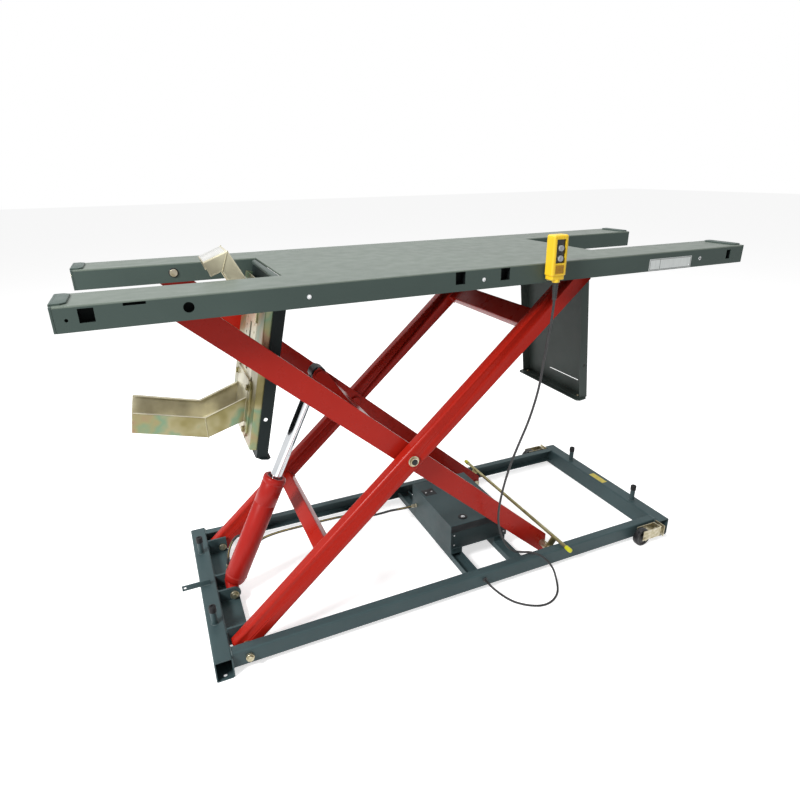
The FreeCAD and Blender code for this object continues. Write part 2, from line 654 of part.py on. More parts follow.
def lower_axles():
    """Axles of the lower rollers with the collars that space the brackets and rollers."""
    gap = d.side_gap
    collar = d.axle_collar_radius
    part("lower_roller_axles", rounds(ROLLER_X, d.base_pivot_height, [
        (d.axle_root, d.axle_tip, d.pivot_radius),
        (d.axle_root, d.inner_arm_inner, collar),
        (d.inner_arm_outer, d.bracket_inner - gap, collar),
        (d.bracket_outer + gap, d.lower_roller_inner - gap, collar),
        (d.lower_roller_outer + gap, d.axle_tip, collar)]))


# Safety bar
def safety_bar():
    """A round bar across the frame on two links that swing about the lower roller axles."""
    x, z = d.safety_bar_x, d.safety_bar_height
    root = d.base_pivot_height
    reach = x - ROLLER_X
    lift = z - root
    link = Size(math.hypot(float(reach), float(lift)),
                f"sqrt({reach.text} * {reach.text} + {lift.text} * {lift.text})")
    side_x = d.bracket_radius * lift / link
    side_z = d.bracket_radius * reach / link
    pieces = [across(x, z, -d.safety_bar_half, d.safety_bar_half, d.safety_bar_radius)]
    tools = []
    corners = [(ROLLER_X - side_x, root + side_z), (x - side_x, z + side_z),
               (x + side_x, z - side_z), (ROLLER_X + side_x, root - side_z)]
    for y in both_spans(d.bracket_inner, d.bracket_outer):
        pieces.append(outline(corners, *y))
        pieces.append(across(ROLLER_X, root, *y, d.bracket_radius))
        tools.append(across(ROLLER_X, root, *y, d.pivot_radius + d.running_gap))
    part("safety_bar", pieces, tools)
    start = d.safety_bar_half - 2 * d.safety_cap_radius
    end = d.safety_bar_half + d.safety_cap_over
    part("safety_bar_caps", rounds(x, z, [(start, end, d.safety_cap_radius)]),
         rounds(x, z, [(start, d.safety_bar_half, d.safety_bar_radius)]))


# Cylinder, drawn about the foot pin with X along its line
def cylinder():
    gap = d.running_gap
    start, end = d.barrel_start, d.gland_start
    foot = across(0, 0, -d.foot_half, d.foot_half, d.foot_radius)
    neck = block((0, start), (-d.foot_half / 2, d.foot_half / 2),
                 (-d.foot_radius / 2, d.foot_radius / 2))
    tube = bar("X", (start, 0, 0), end - start, d.barrel_radius)
    gland = bar("X", (end, 0, 0), d.gland_end - end, d.gland_radius)
    part("cylinder_barrel", [foot, neck, tube, gland],
         [across(0, 0, -d.foot_half, d.foot_half, d.foot_pin_radius + gap),
          bar("X", (d.barrel_floor, 0, 0), end - d.barrel_floor, d.barrel_bore),
          bar("X", (end, 0, 0), d.gland_end - end, d.rod_radius + gap)], CYLINDER)
    line = size(CYLINDER_LENGTH)
    neck_start = line - d.rod_eye_neck
    part("cylinder_rod",
         [bar("X", (d.piston_end, 0, 0), neck_start - d.piston_end, d.rod_radius),
          bar("X", (d.piston_start, 0, 0), d.piston_end - d.piston_start, d.piston_radius)],
         where=CYLINDER)
    part("rod_eye",
         [across(line, 0, -d.rod_eye_half, d.rod_eye_half, d.rod_eye_radius),
          bar("X", (neck_start, 0, 0), d.rod_eye_neck, d.rod_eye_neck_radius)],
         [across(line, 0, -d.rod_eye_half, d.rod_eye_half, d.rod_eye_bore)], CYLINDER)


# Platform
def deck():
    """One sheet with an open slot at each end."""
    end = HALF_LENGTH - d.cap_depth
    slots = [block((d.slot_start, end), (-d.slot_half_width, d.slot_half_width),
                   (UNDERSIDE, d.deck_top)),
             block((-end, -d.slot_start), (-d.slot_half_width, d.slot_half_width),
                   (UNDERSIDE, d.deck_top))]
    part("deck_sheet", [block((-end, end), (-HALF_WIDTH, HALF_WIDTH),
                              (UNDERSIDE, d.deck_top))], slots)


def skirt(label, side):
    """The outer skirt with its windows, the pivot access hole and small through holes."""
    end = HALF_LENGTH - d.cap_depth
    low, high = HALF_WIDTH - d.skirt_sheet, HALF_WIDTH
    if side < 0:
        low, high = -high, -low
    holes = [block((x0, x1), (low, high), (z0, z1)) for x0, x1, z0, z1 in (
        (d.window_front, d.window_front + d.window_size, d.window_low,
         d.window_low + d.window_size),
        (d.pocket_front, d.pocket_front + d.window_size, d.pocket_low, UNDERSIDE),
        (d.pocket_rear, d.pocket_rear + d.window_size, d.pocket_low, UNDERSIDE),
        (d.notch_start, d.notch_end, d.notch_low, d.notch_high),
        (d.slit_start, d.slit_end, d.slit_low, UNDERSIDE))]
    holes.append(across(d.deck_pivot_x, d.deck_pivot_height, low, high, d.access_radius))
    for x in (-d.end_hole_x, d.hole_front_x, d.hole_middle_x, d.hole_rear_x):
        holes.append(across(x, d.hole_height, low, high, d.small_hole_radius))
    part(label, [block((-end, end), (low, high), (d.skirt_bottom, UNDERSIDE))], holes)


def slot_skirts():
    """Four strips along the slots, with the holes of the deck pins and flap hinge pins."""
    end = HALF_LENGTH - d.cap_depth
    pieces = []
    holes = []
    for y in both_spans(d.slot_half_width, d.slot_half_width + d.skirt_sheet):
        for x in both_spans(d.slot_skirt_start, end):
            pieces.append(block(x, y, (d.skirt_bottom, UNDERSIDE)))
        for hinge in (d.front_hinge_x, d.rear_hinge_x):
            holes.append(across(hinge, d.hinge_height, *y, d.hinge_pin_radius))
        holes.append(across(d.deck_pivot_x, d.deck_pivot_height, *y, d.pivot_radius))
    part("slot_skirts", pieces, holes)


def end_caps():
    """Four caps that close the prongs, each with a raised tab."""
    start = HALF_LENGTH - d.cap_depth
    pieces = []
    for x in both_spans(start, HALF_LENGTH):
        for y in both_spans(d.slot_half_width, HALF_WIDTH):
            pieces.append(block(x, y, (d.skirt_bottom, d.deck_top)))
            inset = d.cap_tab_inset
            pieces.append(block(x, (y[0] + inset, y[1] - inset),
                                (d.deck_top, d.deck_top + d.cap_tab_rise)))
    part("end_caps", pieces)


def roller_tracks():
    """Channels under the deck: a running strip, a web and a keeper lip below."""
    span = (d.track_start, d.track_end)
    wall = d.track_wall
    bottom = UNDERSIDE - d.track_depth
    pieces = []
    for y in both_spans(d.track_inner, d.track_outer):
        pieces.append(block(span, y, (UNDERSIDE - wall, UNDERSIDE)))
    for y in both_spans(d.track_outer - wall, d.track_outer):
        pieces.append(block(span, y, (bottom, UNDERSIDE - wall)))
    for y in both_spans(d.track_keeper_inner, d.track_outer - wall):
        pieces.append(block(span, y, (bottom, bottom + wall)))
    part("roller_tracks", [welded(pieces)])


def pivot_lugs():
    x, z = d.deck_pivot_x, d.deck_pivot_height
    half = d.lug_plate_half
    pieces = []
    holes = []
    for y in both_spans(d.lug_plate_inner, d.lug_plate_outer):
        pieces.append(block((x - half, x + half), y, (z, UNDERSIDE)))
        pieces.append(across(x, z, *y, half))
        holes.append(across(x, z, *y, d.pivot_radius))
    part("platform_pivot_lugs", pieces, holes)


def platform_pins():
    """Pins of the inner arms with dome heads in the slot, and the flap hinge pins."""
    dome = d.slot_half_width - d.dome_height
    pieces = rounds(d.deck_pivot_x, d.deck_pivot_height, [
        (d.slot_half_width, d.deck_pin_tip, d.pivot_radius),
        (dome, d.slot_half_width, d.dome_radius)])
    for x in (d.front_hinge_x, d.rear_hinge_x):
        pieces += rounds(x, d.hinge_height, [
            (d.hinge_head_inner, d.slot_half_width + d.skirt_sheet, d.hinge_pin_radius),
            (d.hinge_head_inner, d.hinge_head_outer, d.hinge_head_radius)])
    part("platform_pins", pieces)


def deck_label():
    end = HALF_LENGTH - d.label_gap
    part("deck_label", [block((end - d.label_length, end),
                              (-HALF_WIDTH - d.label_thickness, -HALF_WIDTH),
                              (d.label_low, d.label_high))])


# Flaps, drawn level about their hinges: the front one towards -X, the rear one towards +X
def flap(label, direction, length, lip, where):
    face = d.flap_face
    under = face - d.flap_sheet
    root = d.flap_root
    deep = face - d.flap_depth

    def span(start, end):
        start, end = size(start), size(end)
        return (start, end) if direction > 0 else (-end, -start)

    pieces = [block(span(root, length), (-d.flap_half, d.flap_half), (under, face)),
              block(span(length - d.flap_sheet, length), (-d.flap_half, d.flap_half),
                    (face - lip, under))]
    holes = []
    for y in both_spans(d.flap_half - d.flap_sheet, d.flap_half):
        pieces.append(block(span(-root, length), y, (deep, face)))
        holes.append(across(0, 0, *y, d.hinge_pin_radius + d.running_gap))
        hole = direction * d.flap_hole_run
        holes.append(across(hole, -d.flap_hole_drop, *y, d.flap_hole_radius))
    part(label, pieces, holes, where)


def chock_rail():
    """A wide zinc channel on the flap with a centre slot, hole rows and two guide slots."""
    start, end = -d.chock_rail_end, -d.chock_rail_start
    face = d.chock_rail_face
    sheet_wall = d.zinc_sheet
    half = d.chock_rail_side
    holes = [block((start, end), (-half + sheet_wall, half - sheet_wall),
                   (d.flap_face, face - sheet_wall))]
    for x in (-d.base_bolt_high, -d.base_bolt_low):
        for y in (-d.base_bolt_y, d.base_bolt_y):
            holes.append(block((x - d.guide_slot_reach, x + d.guide_slot_reach),
                               (y - d.guide_slot_half, y + d.guide_slot_half),
                               (face - sheet_wall, face)))
    for index in range(6):
        x = -d.rail_hole_first - index * d.rail_hole_pitch
        for y in (-d.rail_hole_y, d.rail_hole_y):
            holes.append(bar("Z", (x, y, face - sheet_wall), sheet_wall, d.rail_hole_radius))
    holes.append(block((-d.base_plate_start + d.centre_slot_half,
                        -d.upper_foot_end - d.centre_slot_half),
                       (-d.centre_slot_half, d.centre_slot_half), (face - sheet_wall, face)))
    part("chock_rail", [block((start, end), (-half, half), (d.flap_face, face))], holes,
         FRONT_FLAP)


def base_plate():
    """The sliding plate of the chock with four bolts through the rail and their nuts."""
    low = d.chock_rail_face + d.base_plate_gap
    top = low + d.base_plate_thickness
    rail_back = d.chock_rail_face - d.zinc_sheet - d.base_plate_gap
    pieces = [block((-d.base_plate_end, -d.base_plate_start),
                    (-d.base_plate_half, d.base_plate_half), (low, top))]
    for x in (-d.base_bolt_high, -d.base_bolt_low):
        for y in (-d.base_bolt_y, d.base_bolt_y):
            nut = rail_back - d.bolt_nut_height
            pieces.append(bar("Z", (x, y, nut), top - nut, d.base_bolt_radius))
            pieces.append(bar("Z", (x, y, nut), d.bolt_nut_height, d.bolt_nut_radius))
            pieces.append(bar("Z", (x, y, top), d.bolt_cap_height, d.bolt_cap_radius))
    part("chock_base_plate", pieces, where=FRONT_FLAP)


def channel(label, half, walls, back, extras=()):
    """A bent channel: two walls cut to one outline and a back bent along their edge."""
    pieces = [outline(walls, *y) for y in both_spans(half - d.zinc_sheet, half)]
    pieces.append(outline(back, -half + d.zinc_sheet, half - d.zinc_sheet))
    part(label, [*pieces, *extras], where=FRONT_FLAP)


def chock_arms():
    top = d.chock_rail_face + d.base_plate_gap + d.base_plate_thickness
    thick = d.zinc_sheet
    inner = -d.lower_arm_root
    tip = (-d.lower_arm_tip, d.lower_arm_tip_height)
    bend = (-d.lower_arm_bend, d.lower_arm_bend_height)
    channel("chock_lower_arm", d.lower_arm_half,
            [(-d.lower_lip_root, top), (-d.lower_lip_bend, d.lower_lip_bend_height),
             (-d.lower_lip_tip, d.lower_arm_tip_height), tip, bend, (inner, top)],
            [(inner, top), bend, tip, (tip[0] + thick, tip[1]), (bend[0] + thick, bend[1]),
             (inner + thick, top)])
    foot = d.chock_rail_face
    root = (-d.upper_arm_root, foot)
    ridge = (d.upper_ridge, d.upper_ridge_height)
    end = (d.upper_tip, d.upper_tip_height)
    channel("chock_upper_arm", d.upper_arm_half,
            [(-d.upper_lip_root, foot), root, ridge, end,
             (-d.upper_lip_tip, d.upper_lip_tip_height),
             (-d.upper_lip_bend, d.upper_lip_bend_height),
             (-d.upper_lip_root, d.upper_lip_root_height)],
            [root, ridge, end, (end[0] - thick, end[1] - thick / 2),
             (ridge[0] - 1.4 * thick, ridge[1]), (root[0] - 1.4 * thick, foot)],
            [block((-d.upper_foot_end, root[0]), (-d.upper_foot_side, d.upper_foot_side),
                   (foot, foot + thick))])


# Hand control
def hand_control():
    front = d.control_front
    x = (d.control_start, d.control_end)
    back = front + d.face_pocket
    plate_back = front + d.face_recess + d.face_thickness
    window = ((d.face_start, d.face_end), (d.face_low, d.face_top))
    hook_x = (d.hook_centre_x - d.hook_half, d.hook_centre_x + d.hook_half)
    part("control_housing",
         [block(x, (front, d.control_back), (d.control_low, d.control_top)),
          block(hook_x, (d.control_back, -HALF_WIDTH), (d.control_low, UNDERSIDE))],
         [block(window[0], (front, back), window[1])])
    heights = (d.button_up_height, d.button_down_height)
    ring = d.button_radius + d.button_gap
    part("control_face",
         [block(window[0], (front + d.face_recess, plate_back), window[1])],
         [across(d.button_x, z, front + d.face_recess, plate_back, ring) for z in heights])
    for title, z in zip(("up", "down"), heights):
        collar = plate_back + d.button_collar_gap
        part(f"control_button_{title}",
             [across(d.button_x, z, front - d.button_proud, collar + d.button_collar,
                     d.button_radius),
              across(d.button_x, z, collar, collar + d.button_collar,
                     d.button_collar_radius)])
    cone = doc.addObject("Part::Cone", name_of("relief"))
    bind(cone, "Radius1", d.relief_end_radius)
    bind(cone, "Radius2", d.relief_top_radius)
    bind(cone, "Height", d.control_low - d.relief_bottom)
    place(cone, d.relief_x, d.relief_y, d.relief_bottom)
    part("cord_relief", [cone])


# Corners of the cord and hose routes, multiplied by the route scale
HANGING = [(246, -391, 1075), (246, -391, 1035), (237, -391, 965), (228, -390, 885),
           (220, -389, 800), (206, -388, 735), (187, -386, 668), (160, -383, 599),
           (137, -376, 525), (127, -360, 440), (126, -343, 360), (131, -328, 290),
           (142, -321, 232), (160, -320, 180), (186, -321, 130), (222, -326, 97),
           (257, -339, 96)]
FLOOR_LOOP = [(257, -339, 96), (299, -354.6, 94.8), (341, -402, 52), (338, -440, 4),
              (303, -490, 4), (258, -518, 4), (212, -523, 4), (169, -503, 4),
              (134, -471, 4), (110, -445, 12), (84, -429, 34), (66, -402, 50),
              (66, -367, 50)]
HOSE = [(-789, 66, 70), (-788, 67, 120), (-770, 92, 160), (-734, 146, 158),
        (-710, 190, 112), (-694, 222, 48), (-674, 256, 6), (-632, 302, 6), (-560, 320, 6),
        (-450, 321, 6), (-300, 321, 6), (-210, 310, 6), (-150, 256, 14), (-122, 196, 54),
        (-92, 146, 92), (-46, 120, 104), (16, 120, 104)]


# Cords and the hose: straight runs joined by tangent arcs
def route(label, points, diameter, extras=()):
    scale = float(d.route_scale)
    corners = [FreeCAD.Vector(*point) * scale for point in points]
    edges = []
    radii = []
    start = corners[0]
    for before, corner, after in zip(corners, corners[1:], corners[2:]):
        into = (corner - before).normalize()
        out = (after - corner).normalize()
        half = into.getAngle(out) / 2
        reach = 0.45 * min((corner - before).Length, (after - corner).Length)
        radius = reach / math.tan(half)
        first = corner - into * reach
        last = corner + out * reach
        inward = (out - into).normalize()
        middle = corner + inward * (radius / math.cos(half) - radius)
        edges.append(Part.LineSegment(start, first).toShape())
        edges.append(Part.Arc(first, middle, last).toShape())
        radii.append(radius)
        start = last
    edges.append(Part.LineSegment(start, corners[-1]).toShape())
    wire = Part.Wire(edges)
    radius = float(size(diameter)) / 2
    ring = Part.Wire(Part.Circle(corners[0], corners[1] - corners[0], radius).toShape())
    tube = wire.makePipeShell([ring], True, True)
    volume = math.pi * radius ** 2 * wire.Length
    print(label, "smallest radius", round(min(radii), 1), "length", round(wire.Length, 1),
          "volume share", round(tube.Volume / volume, 4))
    obj = doc.addObject("Part::Feature", name_of("tube"))
    obj.Shape = tube
    part(label, [obj, *extras])


def cords():
    route("cord_hanging", HANGING, d.cord_diameter)
    route("cord_floor_loop", FLOOR_LOOP, d.cord_diameter)
    web = -d.rail_outer
    part("cord_grommet",
         [across(d.grommet_x, d.grommet_height, web - d.grommet_depth, web,
                 d.grommet_radius),
          across(d.grommet_x, d.grommet_height, web, web + 2 * d.rail_wall,
                 d.grommet_bore)])
    x, z = d.base_pivot_x, d.base_pivot_height
    half = d.fitting_half
    fitting = [block((x - half, x + half), (d.fitting_start, d.fitting_end),
                     (z - half, z + d.fitting_rise))]
    route("hydraulic_hose", HOSE, d.hose_diameter, fitting)


def frame_parts():
    beams()
    for side, end in ((-1, "near"), (1, "far")):
        side_rail(f"base_rail_{end}", side)
        caster(side, end)
    cross_rails()
    foot_tray()
    pivot_pins()
    posts()
    caster_plates()
    power_unit()


def scissor_parts():
    for side, end in ((-1, "near"), (1, "far")):
        outer_arm(f"outer_arm_{end}", side)
        inner_arm(f"inner_arm_{end}", side)
    tubes("outer_cross_tubes", d.outer_arm_inner, OUTER,
          [(d.lower_tie_start, d.lower_tie_end, d.lower_tie_low, d.lower_tie_high),
           (d.upper_tie_start, d.upper_tie_end, d.upper_tie_low, d.upper_tie_high)])
    tubes("inner_cross_members", d.inner_arm_inner, INNER,
          [(d.inner_tie_start, d.inner_tie_end, -d.inner_tie_half_depth,
            d.inner_tie_half_depth),
           (d.flat_tie_start, d.flat_tie_end, d.flat_tie_low, d.flat_tie_high)])
    centre_pins()
    upper_axles()
    lower_axles()
    rollers()
    rod_ribs()
    safety_bar()
    cylinder()


def platform_parts():
    deck()
    skirt("side_skirt_near", -1)
    skirt("side_skirt_far", 1)
    slot_skirts()
    end_caps()
    roller_tracks()
    pivot_lugs()
    platform_pins()
    deck_label()
    flap("front_flap", -1, d.flap_length, d.flap_depth / 2, FRONT_FLAP)
    flap("rear_flap", 1, d.rear_flap_length, d.flap_depth, REAR_FLAP)
    chock_rail()
    base_plate()
    chock_arms()
    hand_control()
    cords()


frame_parts()
scissor_parts()
platform_parts()
doc.recompute()

faults = [obj.Label for obj in doc.Objects if "Invalid" in obj.State or "Error" in obj.State]
for label, obj in PARTS:
    if obj.Shape.isNull() or not obj.Shape.isValid():
        faults.append(label)
if faults:
    raise RuntimeError("not built: " + ", ".join(faults))

for label, obj in PARTS:
    obj.Shape.exportStep(os.path.join("parts", label + ".step"))
print(len(PARTS), "parts; arm slope", round(ARM_SLOPE, 3), "cylinder",
      round(CYLINDER_LENGTH, 2), "at", round(CYLINDER_SLOPE, 3))
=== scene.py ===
import math

import bmesh
import bpy
from mathutils import Matrix, Vector


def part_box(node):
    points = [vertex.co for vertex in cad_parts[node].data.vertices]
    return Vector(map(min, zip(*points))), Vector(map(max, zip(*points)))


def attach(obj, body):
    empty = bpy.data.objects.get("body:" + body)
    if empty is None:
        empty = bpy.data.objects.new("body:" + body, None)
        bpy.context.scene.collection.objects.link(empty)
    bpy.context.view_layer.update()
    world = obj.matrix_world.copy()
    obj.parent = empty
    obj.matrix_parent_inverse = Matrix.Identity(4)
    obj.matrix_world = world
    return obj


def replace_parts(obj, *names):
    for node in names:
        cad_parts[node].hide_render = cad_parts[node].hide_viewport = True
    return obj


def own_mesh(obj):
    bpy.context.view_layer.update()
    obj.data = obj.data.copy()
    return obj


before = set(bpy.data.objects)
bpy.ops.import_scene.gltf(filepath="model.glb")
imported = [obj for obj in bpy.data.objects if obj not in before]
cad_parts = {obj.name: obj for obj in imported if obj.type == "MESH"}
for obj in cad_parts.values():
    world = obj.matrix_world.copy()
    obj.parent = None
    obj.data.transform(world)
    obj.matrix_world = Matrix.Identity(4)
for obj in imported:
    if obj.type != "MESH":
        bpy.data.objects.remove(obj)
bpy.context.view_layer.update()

# Camera
# Stands near the front left corner at head height and looks down along the lift,
# as the picture does, with the lens that its vanishing lines give.
camera_place = Vector((-0.8885, -1.7966, 1.4565))
camera_turn, camera_dip, camera_roll = 0.4104, 0.3854, -0.0144
ahead = Vector((math.sin(camera_turn) * math.cos(camera_dip),
                math.cos(camera_turn) * math.cos(camera_dip), -math.sin(camera_dip)))
sideways = Vector((math.cos(camera_turn), -math.sin(camera_turn), 0.0))
upwards = sideways.cross(ahead)
rolled_side = sideways * math.cos(camera_roll) + upwards * math.sin(camera_roll)
rolled_up = -sideways * math.sin(camera_roll) + upwards * math.cos(camera_roll)
lens = bpy.data.cameras.new("view")
lens.lens = 25.65
lens.sensor_width = 36.0
lens.clip_end = 100.0
camera = bpy.data.objects.new("view", lens)
camera.matrix_world = Matrix(((rolled_side.x, rolled_up.x, -ahead.x, camera_place.x),
                              (rolled_side.y, rolled_up.y, -ahead.y, camera_place.y),
                              (rolled_side.z, rolled_up.z, -ahead.z, camera_place.z),
                              (0.0, 0.0, 0.0, 1.0)))
bpy.context.scene.collection.objects.link(camera)
bpy.context.scene.camera = camera


# Cable of the hand control
# A round black rubber cable, 8 mm thick. It hangs from the control to the near rail,
# lies in a loop on the floor and goes into the frame through a grommet.
def put(name, data, body, look):
    """Shows a mesh or a curve as a piece that rides a body; a look is a material and its slot, and
    the slot is not used.
    """
    material, slot = look
    data.materials.append(material)
    piece = bpy.data.objects.new(name, data)
    bpy.context.scene.collection.objects.link(piece)
    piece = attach(piece, body)
    return piece


def shader(name, base, rough, metal=0.0, specular=0.5):
    """A new material with its Principled shader set to plain values."""
    material = bpy.data.materials.new(name)
    material.use_nodes = True
    core = material.node_tree.nodes["Principled BSDF"]
    core.inputs["Base Color"].default_value = (*base, 1.0)
    core.inputs["Roughness"].default_value = rough
    core.inputs["Metallic"].default_value = metal
    core.inputs["Specular IOR Level"].default_value = specular
    return material, material.node_tree, core


def grain(tree, scale, detail=4.0, stretch=(1.0, 1.0, 1.0)):
    """A noise on the object's own coordinates."""
    coordinates = tree.nodes.new("ShaderNodeTexCoord")
    turned = tree.nodes.new("ShaderNodeMapping")
    turned.inputs["Scale"].default_value = stretch
    noise = tree.nodes.new("ShaderNodeTexNoise")
    noise.inputs["Scale"].default_value = scale
    noise.inputs["Detail"].default_value = detail
    tree.links.new(coordinates.outputs["Object"], turned.inputs["Vector"])
    tree.links.new(turned.outputs["Vector"], noise.inputs["Vector"])
    return noise.outputs["Fac"]


def colours(tree, factor, *stops):
    """A colour ramp over a grain."""
    ramp = tree.nodes.new("ShaderNodeValToRGB")
    while len(ramp.color_ramp.elements) < len(stops):
        ramp.color_ramp.elements.new(0.5)
    for element, (place, colour) in zip(ramp.color_ramp.elements, stops):
        element.position = place
        element.color = (*colour, 1.0)
    tree.links.new(factor, ramp.inputs["Fac"])
    return ramp.outputs["Color"]


def surface(name, slot, base, rough, metal=0.0, specular=0.5, spots=(), sheen=(), bumps=()):
    """A look whose colours, roughness and relief each follow a grain of their own."""
    material, tree, core = shader(name, base, rough, metal, specular)
    if spots:
        scales, *stops = spots
        tree.links.new(colours(tree, grain(tree, *scales), *stops), core.inputs["Base Color"])
    if sheen:
        scales, least, most = sheen
        spread = tree.nodes.new("ShaderNodeMapRange")
        spread.inputs["To Min"].default_value = least
        spread.inputs["To Max"].default_value = most
        tree.links.new(grain(tree, *scales), spread.inputs["Value"])
        tree.links.new(spread.outputs["Result"], core.inputs["Roughness"])
    if bumps:
        scales, strength, distance = bumps
        bump = tree.nodes.new("ShaderNodeBump")
        bump.inputs["Strength"].default_value = strength
        bump.inputs["Distance"].default_value = distance
        tree.links.new(grain(tree, *scales), bump.inputs["Height"])
        tree.links.new(bump.outputs["Normal"], core.inputs["Normal"])
    return material, slot


rubber = surface("cable_rubber", "black_rubber", (0.012, 0.012, 0.013), 0.5,
                 spots=((60.0,), (0.35, (0.01, 0.01, 0.011)), (0.7, (0.022, 0.022, 0.023))),
                 sheen=((220.0,), 0.42, 0.6))

hanging_corners = [(246, -391, 1075), (246, -391, 1035), (237, -391, 965), (228, -390, 885),
                   (220, -389, 800), (206, -388, 735), (187, -386, 668), (160, -383, 599),
                   (137, -376, 525), (127, -360, 440), (126, -343, 360), (131, -328, 290),
                   (142, -321, 232), (160, -320, 180), (186, -321, 130), (222, -326, 97),
                   (257, -339, 96)]
floor_corners = [(257, -339, 96), (299, -354.6, 94.8), (341, -402, 52), (338, -440, 4),
                 (303, -490, 4), (258, -518, 4), (212, -523, 4), (169, -503, 4), (134, -471, 4),
                 (110, -445, 12), (84, -429, 34), (66, -402, 50), (66, -367, 50)]


def spline_through(name, corners, radius):
    """A curve of one open spline through the corners of a route, given in millimetres."""
    curve = bpy.data.curves.new(name, "CURVE")
    curve.dimensions = "3D"
    curve.bevel_depth = radius
    curve.bevel_resolution = 5
    curve.resolution_u = 10
    curve.use_fill_caps = radius > 0
    spline = curve.splines.new("NURBS")
    spline.points.add(len(corners) - 1)
    for point, corner in zip(spline.points, corners):
        point.co = (*(value / 1000 for value in corner), 1.0)
    spline.order_u = 3
    spline.use_endpoint_u = True
    return curve


def meshed(name, curve):
    """The mesh that a curve shows as."""
    holder = bpy.data.objects.new(name, curve)
    mesh = bpy.data.meshes.new_from_object(holder)
    bpy.data.objects.remove(holder)
    return mesh


cable_radius = 0.004
hanging_mesh = meshed("cable_hanging", spline_through("hanging", hanging_corners, cable_radius))
hanging_mesh.materials.clear()
hanging_mesh.polygons.foreach_set("use_smooth", [True] * len(hanging_mesh.polygons))
hanging_line = meshed("hanging_line", spline_through("hanging_line", hanging_corners, 0.0))
hanging_cable = put("cable_hanging", hanging_mesh, "base", rubber)
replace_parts(hanging_cable, "cord_hanging")
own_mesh(hanging_cable)

floor_curve = spline_through("cable_floor", floor_corners, cable_radius)
floor_cable = put("cable_floor", floor_curve, "base", rubber)
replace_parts(floor_cable, "cord_floor_loop")

# Floor frame
# Two box beams joined by two channels, welded from steel and powder coated in slate grey.
# The front beam carries the flat tow lug; every anchor hole is drilled through a bottom wall.
def powder_coat(name, base, rough=0.42, shift=0.12, specular=0.2, slot="frame_paint"):
    """Powder coat: slightly uneven colour, orange peel and faint scuffs."""
    darker = tuple(value * (1 - shift) for value in base)
    lighter = tuple(value * (1 + shift) for value in base)
    return surface(name, slot, base, rough, specular=specular,
                   spots=((4.0, 8.0), (0.3, darker), (0.52, base), (0.75, lighter)),
                   sheen=((22.0, 6.0), rough - 0.08, rough + 0.14),
                   bumps=((420.0, 2.0), 0.18, 0.0002))


def copy_of(node):
    """The mesh of a solid, with its flat faces whole again."""
    grid = bmesh.new()
    grid.from_mesh(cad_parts[node].data)
    bmesh.ops.remove_doubles(grid, verts=grid.verts, dist=1e-6)
    bmesh.ops.dissolve_limit(grid, angle_limit=math.radians(0.4), verts=grid.verts,
                             edges=grid.edges)
    return grid


def finished(name, grid, body, look, nodes=(), ease=0.0, steps=2):
    """Makes a piece from a bmesh, with its sharp edges eased when a width is given."""
    for face in grid.faces:
        face.smooth = True
    if not ease:
        for edge in grid.edges:
            edge.smooth = len(edge.link_faces) == 2 and edge.calc_face_angle(0.0) < 0.6
    mesh = bpy.data.meshes.new(name)
    grid.to_mesh(mesh)
    grid.free()
    piece = put(name, mesh, body, look)
    if ease:
        bevel = piece.modifiers.new("eased_edges", "BEVEL")
        bevel.width = ease
        bevel.segments = steps
        bevel.limit_method = "ANGLE"
        bevel.angle_limit = math.radians(32)
        level = piece.modifiers.new("even_shading", "WEIGHTED_NORMAL")
        level.keep_sharp = True
    if nodes:
        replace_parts(piece, *nodes)
    return piece


def kept(name, node, body, look, ease, steps=2):
    """Makes a piece that is a solid with its edges eased."""
    return finished(name, copy_of(node), body, look, [node], ease, steps)


def bend_edges(grid, wanted, radius, steps=4):
    """Rounds the long folds or tube corners that the test picks out."""
    edges = [edge for edge in grid.edges if len(edge.link_faces) == 2
             and edge.calc_face_angle(0.0) > 0.8 and wanted(edge)]
    bmesh.ops.bevel(grid, geom=edges, offset=radius, offset_type="OFFSET", affect="EDGES",
                    segments=steps, profile=0.5, material=-1, clamp_overlap=False)


def runs_along(edge, axis, least):
    """True for an edge along an axis, at least so long."""
    span = edge.verts[1].co - edge.verts[0].co
    return span.length > least and abs(span.normalized().dot(Vector(axis))) > 0.999


def split_at(grid, axis, places):
    """Splits every wall where it crosses a plane."""
    for place in places:
        bmesh.ops.bisect_plane(grid, geom=[*grid.verts, *grid.edges, *grid.faces], plane_co=place,
                               plane_no=axis)


def square_cuts(grid, axis, places):
    """Splits the walls straight across at their holes, and joins what was split lengthways."""
    axis = Vector(axis)
    split_at(grid, axis, places)
    almost_flat = 0.005
    along = [edge for edge in grid.edges if len(edge.link_faces) == 2
             and edge.calc_face_angle(1.0) < almost_flat
             and abs((edge.verts[1].co - edge.verts[0].co).normalized().dot(axis)) > 0.5]
    bmesh.ops.dissolve_edges(grid, edges=along, use_verts=False)
    spare = []
    for vert in grid.verts:
        if len(vert.link_edges) == 2:
            one, two = (edge.other_vert(vert).co - vert.co for edge in vert.link_edges)
            if one.normalized().dot(two.normalized()) < -0.99999:
                spare.append(vert)
    bmesh.ops.dissolve_verts(grid, verts=spare)


def one_skin(grid, axis, places):
    """Takes out the hidden walls where two welded solids touch."""
    split_at(grid, axis, places)
    seen = {}
    for face in grid.faces:
        centre = face.calc_center_median()
        key = (*(round(v, 5) for v in centre), round(face.calc_area(), 7))
        seen.setdefault(key, []).append(face)
    doubled = [face for group in seen.values() if len(group) == 2 for face in group]
    bmesh.ops.delete(grid, geom=doubled, context="FACES")


